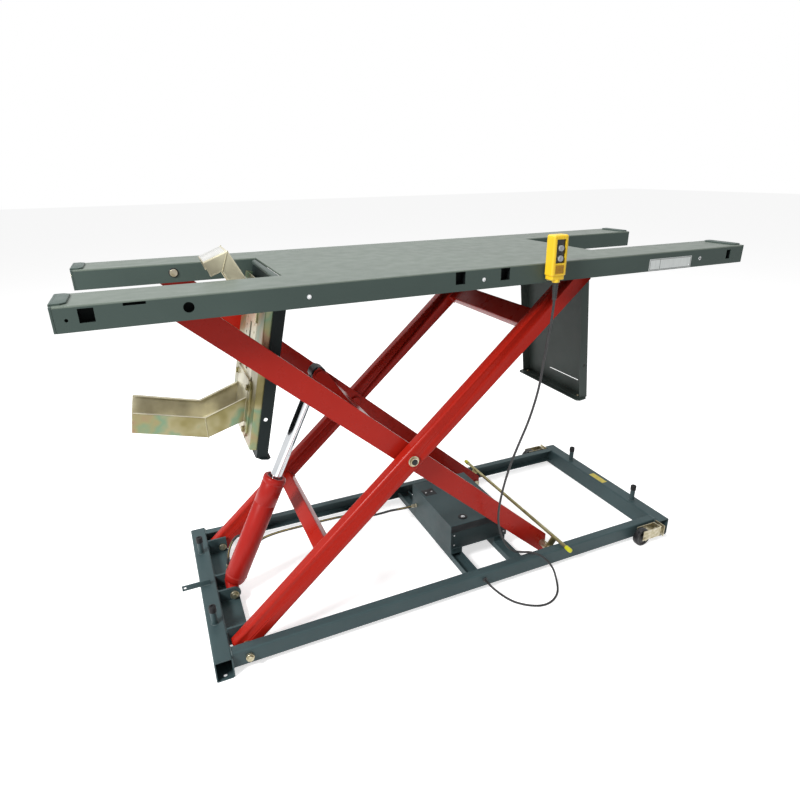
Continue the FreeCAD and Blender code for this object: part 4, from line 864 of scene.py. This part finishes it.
amber = surface("blank_sticker", "yellow_plastic", (0.52, 0.44, 0.06), 0.5,
                spots=((50.0,), (0.3, (0.44, 0.36, 0.05)), (0.7, (0.6, 0.5, 0.08))))
sticker = bmesh.new()
slab(sticker, (0.904, -0.04, 0.0776), (0.932, 0.05, 0.0784))
finished("rear_beam_sticker", sticker, "base", amber)

# Flaps
# Two pressed covers hinged at the slots: the front one carries the wheel chock, the rear
# one closes the drop-out gap. Folded edges stiffen them, with ribs and punched holes.
flap_slate = powder_coat("flap_powder_coat", (0.05, 0.066, 0.06), 0.4, 0.1)
# Painted shade: the front flap's pressing and lip get a much darker copy of the flap paint, for
# the shade in the slot under the deck end; its knuckle keeps the plain flap paint.
painted_shade_slate = powder_coat("front_flap_painted_shade", (0.012, 0.018, 0.018), 0.46, 0.1, 0.12)


def lies_level(hinge_x, hang, direction):
    """Takes a point drawn level about a flap's hinge to where the flap hangs."""
    turn = Matrix.Rotation(math.radians(hang) * direction, 4, "Y")
    return Matrix.Translation((hinge_x, 0.0, 1.172)) @ turn


def punch(grid, turn, low, high):
    """Cuts a window through a sheet; low and high corners are drawn before the turn."""
    back = turn.inverted()
    spans = [tuple(sorted(pair)) for pair in zip(low, high)]
    thin = min(range(3), key=lambda index: spans[index][1] - spans[index][0])
    flat = [index for index in range(3) if index != thin]

    def inside(face, slack):
        centre = back @ face.calc_center_median()
        near = spans[thin][0] - 1e-4 < centre[thin] < spans[thin][1] + 1e-4
        return near and all(spans[index][0] - slack < centre[index] < spans[index][1] + slack
                            for index in flat)

    def across_sheet(face):
        normal = back.to_3x3() @ face.normal
        return abs(normal[thin]) > 0.99
    for index in flat:
        for value in spans[index]:
            point, normal = Vector((0, 0, 0)), Vector((0, 0, 0))
            point[index], normal[index] = value, 1.0
            faces = [face for face in grid.faces if across_sheet(face)
                     and spans[thin][0] - 1e-4 < (back @ face.calc_center_median())[thin]
                     < spans[thin][1] + 1e-4]
            around = {item for face in faces for item in (*face.verts, *face.edges)}
            bmesh.ops.bisect_plane(grid, geom=[*faces, *around], plane_co=turn @ point,
                                   plane_no=turn.to_3x3() @ normal)
    lids = [face for face in grid.faces if inside(face, 0.0) and across_sheet(face)]
    rims = [edge for face in lids for edge in face.edges
            if sum(other in lids for other in edge.link_faces) == 1]
    bmesh.ops.delete(grid, geom=lids, context="FACES_KEEP_BOUNDARY")
    rims = [edge for edge in rims if edge.is_valid]
    bmesh.ops.bridge_loops(grid, edges=rims)


front_hang = lies_level(-0.552, 77.7, -1)
rear_hang = lies_level(0.543, 83.6, 1)
kept("front_flap_pressing", "front_flap", "front_flap", painted_shade_slate, 0.001, 3)
knuckle, closing = bmesh.new(), bmesh.new()
turned(knuckle, (-0.552, -0.186, 1.172), (0, 1, 0),
       [(0, 0), (0.0082, 0), (0.0088, 0.0006), (0.0088, 0.3714), (0.0082, 0.372), (0, 0.372)])
finished("front_hinge_knuckle", knuckle, "front_flap", flap_slate)
slab(closing, (-0.5445, -0.1945, 1.178), (-0.52, 0.1945, 1.1812), 0.0006)
finished("front_slot_edge", closing, "platform", lit_deck_slate)
rear_pressing = copy_of("rear_flap")
punch(rear_pressing, rear_hang, (0.5, -0.14, 0.0011), (0.5045, 0.04, 0.0046))
finished("rear_flap_pressing", rear_pressing, "rear_flap", flap_slate, ["rear_flap"], ease=0.001,
         steps=3)


def lip(hang, direction, length, deep, wide):
    """The folded lip at a flap's free edge, drawn level: wider than the flap, its ends cut."""
    grid = bmesh.new()
    corners = [(-wide + 0.016, 0.004), (-0.188, 0.004), (0.188, 0.004), (wide - 0.016, 0.004),
               (wide, -0.01), (wide, -deep + 0.01), (wide - 0.012, -deep), (-wide + 0.012, -deep),
               (-wide, -deep + 0.01), (-wide, -0.01)]
    plate(grid, corners, 0.0, 0.0036)
    stand = Matrix(((0, 0, direction, direction * (length - 0.0002)), (1, 0, 0, 0), (0, 1, 0, 0),
                    (0, 0, 0, 1)))
    bmesh.ops.transform(grid, matrix=hang @ stand, verts=grid.verts)
    bmesh.ops.recalc_face_normals(grid, faces=grid.faces)
    return grid


finished("front_flap_lip", lip(front_hang, -1, 0.548, 0.041, 0.196), "front_flap", painted_shade_slate,
         ease=0.001)
finished("rear_flap_lip", lip(rear_hang, 1, 0.556, 0.048, 0.2), "rear_flap", flap_slate,
         ease=0.001)
flap_bolts = bmesh.new()
for y in (-0.165, 0.165):
    turned(flap_bolts, rear_hang @ Vector((0.553, y, -0.018)),
           -(rear_hang.to_3x3() @ Vector((1, 0, 0))),
           [(0, -0.001), (0.0056, -0.001), (0.0056, 0.0014), (0.004, 0.0034), (0, 0.0038)], 28)
finished("rear_flap_studs", flap_bolts, "rear_flap", zinc_plate)

# Wheel chock
# Two bent channels of yellow zinc plated sheet that take the front wheel between them.
# The upper one is welded to the rail of the flap; the lower one slides on four bolts.
chromate = surface("yellow_chromate", "yellow_zinc", (0.3, 0.27, 0.14), 0.3, 0.65,
                   spots=((6.5, 3.0, (1.0, 0.6, 1.0)), (0.3, (0.13, 0.11, 0.04)),
                          (0.4, (0.21, 0.18, 0.07)), (0.47, (0.29, 0.26, 0.14)),
                          (0.52, (0.15, 0.24, 0.15)), (0.56, (0.25, 0.23, 0.11)),
                          (0.61, (0.28, 0.18, 0.11)), (0.67, (0.25, 0.21, 0.09)),
                          (0.8, (0.14, 0.12, 0.04))), sheen=((45.0, 6.0), 0.22, 0.42),
                   bumps=((260.0,), 0.12, 0.0003))


def reckoned(tree, operation, first, second=None):
    """The result of a sum on sockets or plain values."""
    node = tree.nodes.new("ShaderNodeMath")
    node.operation = operation
    for socket, value in zip(node.inputs, (first, second)):
        if isinstance(value, float):
            socket.default_value = value
        elif value is not None:
            tree.links.new(value, socket)
    return node.outputs[0]


def painted_light_inside(look, half_width):
    """Painted light: paler colours within half_width of the middle than on the outer walls, for
    the light that falls into the channels.
    """
    tree = look[0].node_tree
    base = tree.nodes["Principled BSDF"].inputs["Base Color"]
    outside = base.links[0].from_socket
    inside = colours(tree, grain(tree, 9.0, 3.0), (0.35, (0.34, 0.31, 0.22)),
                     (0.62, (0.62, 0.58, 0.42)))
    place = tree.nodes.new("ShaderNodeTexCoord")
    parts = tree.nodes.new("ShaderNodeSeparateXYZ")
    both = tree.nodes.new("ShaderNodeMix")
    both.data_type = "RGBA"
    tree.links.new(place.outputs["Object"], parts.inputs["Vector"])
    aside = reckoned(tree, "ABSOLUTE", parts.outputs["Y"])
    tree.links.new(reckoned(tree, "GREATER_THAN", aside, half_width), both.inputs["Factor"])
    for name, colour in (("A", inside), ("B", outside)):
        tree.links.new(colour, both.inputs[name])
    tree.links.new(both.outputs["Result"], base)


# All chromate surfaces within 84.5 mm of the middle line get this painted light: the insides of
# the lower channel, the whole upper arm, and the middles of the rail and plate.
painted_light_inside(chromate, 0.0845)
rail_grid = copy_of("chock_rail")
level = front_hang.inverted()


def rail_fold(edge):
    point = level @ edge.verts[0].co
    along = front_hang.to_3x3() @ Vector((1, 0, 0))
    return runs_along(edge, along, 0.3) and abs(abs(point.y) - 0.18) < 1e-4 and point.z > 0.026


bend_edges(rail_grid, rail_fold, 0.0045)
finished("chock_rail_pressing", rail_grid, "front_flap", chromate, ["chock_rail"], ease=0.0006)


def on_profile(edge, half, profile):
    """True for an edge on the outer bend lines of a channel, at both of its walls."""
    first, second = (level @ vert.co for vert in edge.verts)
    if abs(abs(first.y) - half) > 1e-4 or abs(abs(second.y) - half) > 1e-4:
        return False
    if first.y * second.y < 0 and any(math.hypot(first.x - x, first.z - z) < 2e-3
                                      for x, z in (profile[0], profile[-1])):
        return False
    for (x0, z0), (x1, z1) in zip(profile, profile[1:]):
        length = math.hypot(x1 - x0, z1 - z0)
        near = [abs((x1 - x0) * (point.z - z0) - (z1 - z0) * (point.x - x0)) / length < 2e-4
                for point in (first, second)]
        if all(near) and (first - second).length > 0.02:
            return True
    return False


for node, half, profile, body in (
        ("chock_upper_arm", 0.072, [(-0.074, 0.027), (0.048, 0.129), (0.0056, 0.193)],
         "front_flap"),
        ("chock_lower_arm", 0.086, [(-0.468, 0.0332), (-0.526, 0.136), (-0.514, 0.353)],
         "chock")):
    arm = copy_of(node)
    bend_edges(arm, lambda edge: on_profile(edge, half, profile), 0.0045)
    finished(node + "_pressing", arm, body, chromate, [node], ease=0.0007)
level_side = Matrix(((1, 0, 0, 0), (0, 0, 1, 0), (0, 1, 0, 0), (0, 0, 0, 1)))
for name, body, half, rim in (
        ("chock_lower_rims", "chock", 0.0862,
         [(-0.389, 0.034), (-0.4612, 0.151), (-0.4522, 0.353), (-0.4562, 0.353),
          (-0.4655, 0.1517), (-0.3935, 0.0365)]),
        ("chock_upper_rims", "front_flap", 0.0722,
         [(-0.098, 0.069), (-0.012, 0.1382), (-0.032, 0.1682), (-0.0287, 0.1704),
          (-0.0067, 0.1374), (-0.0955, 0.0659)])):
    rims = bmesh.new()
    for span in ((-half, -half + 0.011), (half - 0.011, half)):
        plate(rims, rim, *span, turn=front_hang @ level_side)
    finished(name, rims, body, chromate, ease=0.0013, steps=3)
# Painted highlight: a thin bright zinc sheet on the upper chock's tip stands in for the glare of
# light on that face.
highlight_zinc = surface("tip_painted_highlight", "bright_steel", (0.74, 0.74, 0.71), 0.18, 0.9,
                   spots=((30.0, 5.0), (0.3, (0.66, 0.66, 0.62)), (0.7, (0.8, 0.8, 0.77))),
                   sheen=((80.0,), 0.14, 0.34))
tip_face = Matrix(((-0.552, 0, 0.8336, 0.048), (0, -1, 0, 0), (0.8336, 0, 0.552, 0.129),
                   (0, 0, 0, 1)))
highlight_sheet = bmesh.new()
slab(highlight_sheet, (0.007, -0.064, -0.0002), (0.074, 0.064, 0.0006), 0.0003, turn=front_hang @ tip_face)
finished("chock_upper_painted_highlight", highlight_sheet, "front_flap", highlight_zinc)
sliding = bmesh.new()
plate(sliding, [(-0.512, -0.105), (-0.492, -0.125), (-0.35, -0.125), (-0.33, -0.105),
                (-0.33, 0.105), (-0.35, 0.125), (-0.492, 0.125), (-0.512, 0.105)], 0.0272, 0.0332,
      0.0012)
for x in (-0.352, -0.49):
    for y in (-0.095, 0.095):
        turned(sliding, (x, y, 0.0332), (0, 0, 1),
               [(0, 0), (0.0125, 0), (0.0125, 0.0012), (0.0118, 0.0018), (0, 0.0018)], 36)
        hexagon(sliding, (x, y, 0.035), (0, 0, 1), 0.0165, 0.0062)
        turned(sliding, (x, y, 0.0138), (0, 0, 1),
               [(0, 0), (0.006, 0), (0.006, 0.014), (0, 0.014)], 24)
        hexagon(sliding, (x, y, 0.0138), (0, 0, 1), 0.0185, 0.0086)
bmesh.ops.transform(sliding, matrix=front_hang, verts=sliding.verts)
finished("chock_plate_and_bolts", sliding, "chock", chromate, ["chock_base_plate"])
chock_weld = weld_metal("zinc_over_welds", (0.42, 0.38, 0.24), "yellow_zinc")


def seams(*lines):
    """Runs on both sides of the chock: each line is its distance aside and two x, z ends."""
    return [[tuple(front_hang @ Vector((x, y, z))) for x, z in ends]
            for half, *ends in lines for y in (-half, half)]


beads("chock_slide_welds", "chock", chock_weld,
      seams((0.0862, (-0.461, 0.151), (-0.526, 0.136)),
            (0.0865, (-0.466, 0.0334), (-0.39, 0.0334))), 0.0015)
beads("chock_foot_welds", "front_flap", chock_weld,
      seams((0.0722, (-0.012, 0.138), (0.048, 0.129)),
            (0.0725, (-0.098, 0.0274), (-0.076, 0.0274)),
            (0.08, (-0.148, 0.031), (-0.078, 0.031))), 0.0014)

# Hand control
# A yellow moulded housing on a bracket at the near skirt, with two grey push buttons in a
# dark set-in panel, grip ribs below them and a tapered relief sleeve for the cable.
housing = bmesh.new()
slab(housing, (0.219, -0.404, 1.15), (0.273, -0.364, 1.27))
for corners, width, steps in ((lambda edge: runs_along(edge, (0, 0, 1), 0.05), 0.0075, 5),
                              (lambda edge: min(v.co.z for v in edge.verts) > 1.269, 0.0062, 4),
                              (lambda edge: max(v.co.z for v in edge.verts) < 1.151, 0.004, 3)):
    bevelled(housing, [edge for edge in housing.edges if corners(edge)], width, steps)


def front_faces(grid):
    """The faces that lie in the housing's front."""
    return [face for face in grid.faces if face.normal.y < -0.99
            and abs(face.calc_center_median().y + 0.404) < 1e-4]


def sunk(grid, low_x, high_x, low_z, high_z, depth):
    """Sinks a rectangle of the housing's front face."""
    for point, normal in (((low_x, 0, 0), (1, 0, 0)), ((high_x, 0, 0), (1, 0, 0)),
                          ((0, 0, low_z), (0, 0, 1)), ((0, 0, high_z), (0, 0, 1))):
        faces = front_faces(grid)
        around = {item for face in faces for item in (*face.verts, *face.edges)}
        bmesh.ops.bisect_plane(grid, geom=[*faces, *around], plane_co=point, plane_no=normal)
    panel = [face for face in front_faces(grid)
             if low_x < face.calc_center_median().x < high_x
             and low_z < face.calc_center_median().z < high_z]
    made = bmesh.ops.extrude_face_region(grid, geom=panel)
    moved = [item for item in made["geom"] if isinstance(item, bmesh.types.BMVert)]
    bmesh.ops.translate(grid, vec=(0, depth, 0), verts=moved)
    bmesh.ops.delete(grid, geom=[face for face in panel if face.is_valid], context="FACES_ONLY")


housing.normal_update()
sunk(housing, 0.2295, 0.2625, 1.188, 1.2575, 0.0075)
sunk(housing, 0.2295, 0.2625, 1.156, 1.183, 0.0016)
bmesh.ops.recalc_face_normals(housing, faces=housing.faces)
finished("control_shell", housing, "platform", yellow, ["control_housing"], ease=0.0007, steps=3)
trim = bmesh.new()
slab(trim, (0.2235, -0.4005, 1.137), (0.2685, -0.366, 1.152), 0.003, 3)
turned(trim, (0.246, -0.391, 1.13), (0, 0, 1),
       [(0, 0), (0.0112, 0), (0.0118, 0.0012), (0.0118, 0.0075), (0.0105, 0.009), (0, 0.009)])
for x in (0.2235, 0.2325, 0.2415, 0.2505, 0.2595):
    slab(trim, (x - 0.0012, -0.405, 1.262), (x + 0.0012, -0.403, 1.265), 0.0004)
finished("control_neck", trim, "platform", yellow)
amber_grip = moulded("amber_grip", (0.4, 0.19, 0.012), 0.5)
grips = bmesh.new()
for step in range(6):
    z = 1.1585 + 0.004 * step
    slab(grips, (0.231, -0.4046, z), (0.261, -0.4015, z + 0.0022), 0.0006)
finished("control_grip_ribs", grips, "platform", amber_grip)
bracket = bmesh.new()
slab(bracket, (0.233, -0.3665, 1.131), (0.259, -0.36, 1.181), 0.0012)
slab(bracket, (0.2695, -0.39, 1.2), (0.2775, -0.37, 1.2035), 0.0008)
slab(bracket, (0.2745, -0.39, 1.2), (0.2775, -0.37, 1.211), 0.0008)
finished("control_bracket", bracket, "platform", zinc_plate, ["control_housing"])
panel_black = moulded("panel_black_plastic", (0.012, 0.011, 0.011), 0.34, "black_plastic")
face_grid = bmesh.new()
slab(face_grid, (0.2298, -0.4, 1.1883), (0.2622, -0.3975, 1.2572), 0.0004)
for z in (1.232, 1.202):
    turned(face_grid, (0.246, -0.4, z), (0, -1, 0),
           [(0.0094, 0), (0.0132, 0), (0.0132, 0.0012), (0.0122, 0.0024), (0.0104, 0.0024),
            (0.0094, 0.001), (0.0094, 0)], 44)
finished("control_panel", face_grid, "platform", panel_black, ["control_face"])
button_grey = moulded("button_grey_plastic", (0.3, 0.31, 0.32), 0.35, "black_plastic")
for title, z in (("up", 1.232), ("down", 1.202)):
    node = "control_button_" + title
    cap = bmesh.new()
    turned(cap, (0.246, -0.3975, z), (0, -1, 0),
           [(0, 0), (0.009, 0), (0.009, 0.0078), (0.0084, 0.009), (0.0072, 0.0094),
            (0.005, 0.0088), (0, 0.0084)], 48)
    finished(node + "_cap", cap, node, button_grey, [node])
sleeve = bmesh.new()
profile = [(0, 0), (0.006, 0)]
for step in range(7):
    height = 0.004 + 0.0068 * step
    radius = 0.0062 + 0.0028 * height / 0.056
    profile += [(radius, height), (radius + 0.0002, height + 0.0044),
                (radius - 0.001, height + 0.005), (radius - 0.001, height + 0.0062)]
profile += [(0.0092, 0.052), (0.0094, 0.056), (0, 0.056)]
turned(sleeve, (0.246, -0.391, 1.075), (0, 0, 1), profile, 40)
finished("cable_sleeve", sleeve, "platform", rubber, ["cord_relief"])

# Floor, backdrop and light
# A plain pale floor under soft light, as in a studio.
floor_mesh = bpy.data.meshes.new("floor")
grid = bmesh.new()
bmesh.ops.create_grid(grid, x_segments=1, y_segments=1, size=30.0)
grid.to_mesh(floor_mesh)
grid.free()
floor = bpy.data.objects.new("floor", floor_mesh)
bpy.context.scene.collection.objects.link(floor)


def seeing_rays(tree):
    """One for the camera's, the glossy and the transmission rays, else nought."""
    rays = tree.nodes.new("ShaderNodeLightPath").outputs
    direct = reckoned(tree, "MAXIMUM", rays["Is Camera Ray"], rays["Is Glossy Ray"])
    return reckoned(tree, "MAXIMUM", direct, rays["Is Transmission Ray"])


paper, paper_tree, paper_core = shader("floor_paper", (0.86, 0.86, 0.86), 0.95, specular=0.0)
glow = reckoned(paper_tree, "MULTIPLY", seeing_rays(paper_tree), 0.62)
paper_core.inputs["Emission Color"].default_value = (1.0, 1.0, 1.0, 1.0)
paper_tree.links.new(glow, paper_core.inputs["Emission Strength"])
floor_mesh.materials.append(paper)

sky = bpy.data.worlds.new("sky")
sky.use_nodes = True
bpy.context.scene.world = sky
sky_tree = sky.node_tree
plain = sky_tree.nodes["Background"]
plain.inputs["Color"].default_value = (1.0, 1.0, 1.0, 1.0)
sky_level = sky_tree.nodes.new("ShaderNodeMix")
sky_level.data_type = "FLOAT"
sky_level.inputs["A"].default_value = 0.36
sky_level.inputs["B"].default_value = 1.0
sky_tree.links.new(seeing_rays(sky_tree), sky_level.inputs["Factor"])
sky_tree.links.new(sky_level.outputs["Result"], plain.inputs["Strength"])


def lamp(name, place, aim, size, power):
    """A square soft lamp that faces a point."""
    light = bpy.data.lights.new(name, "AREA")
    light.shape = "SQUARE"
    light.size = size
    light.energy = power
    holder = bpy.data.objects.new(name, light)
    holder.location = place
    holder.rotation_euler = (Vector(aim) - Vector(place)).to_track_quat("-Z", "Y").to_euler()
    bpy.context.scene.collection.objects.link(holder)


lamp("top_light", (0.2, 0.8, 4.2), (0.0, 0.0, 0.6), 3.5, 110.0)
lamp("left_light", (-3.3, -1.6, 3.3), (-0.2, -0.3, 0.6), 1.1, 200.0)

bpy.context.scene.view_settings.view_transform = "Standard"
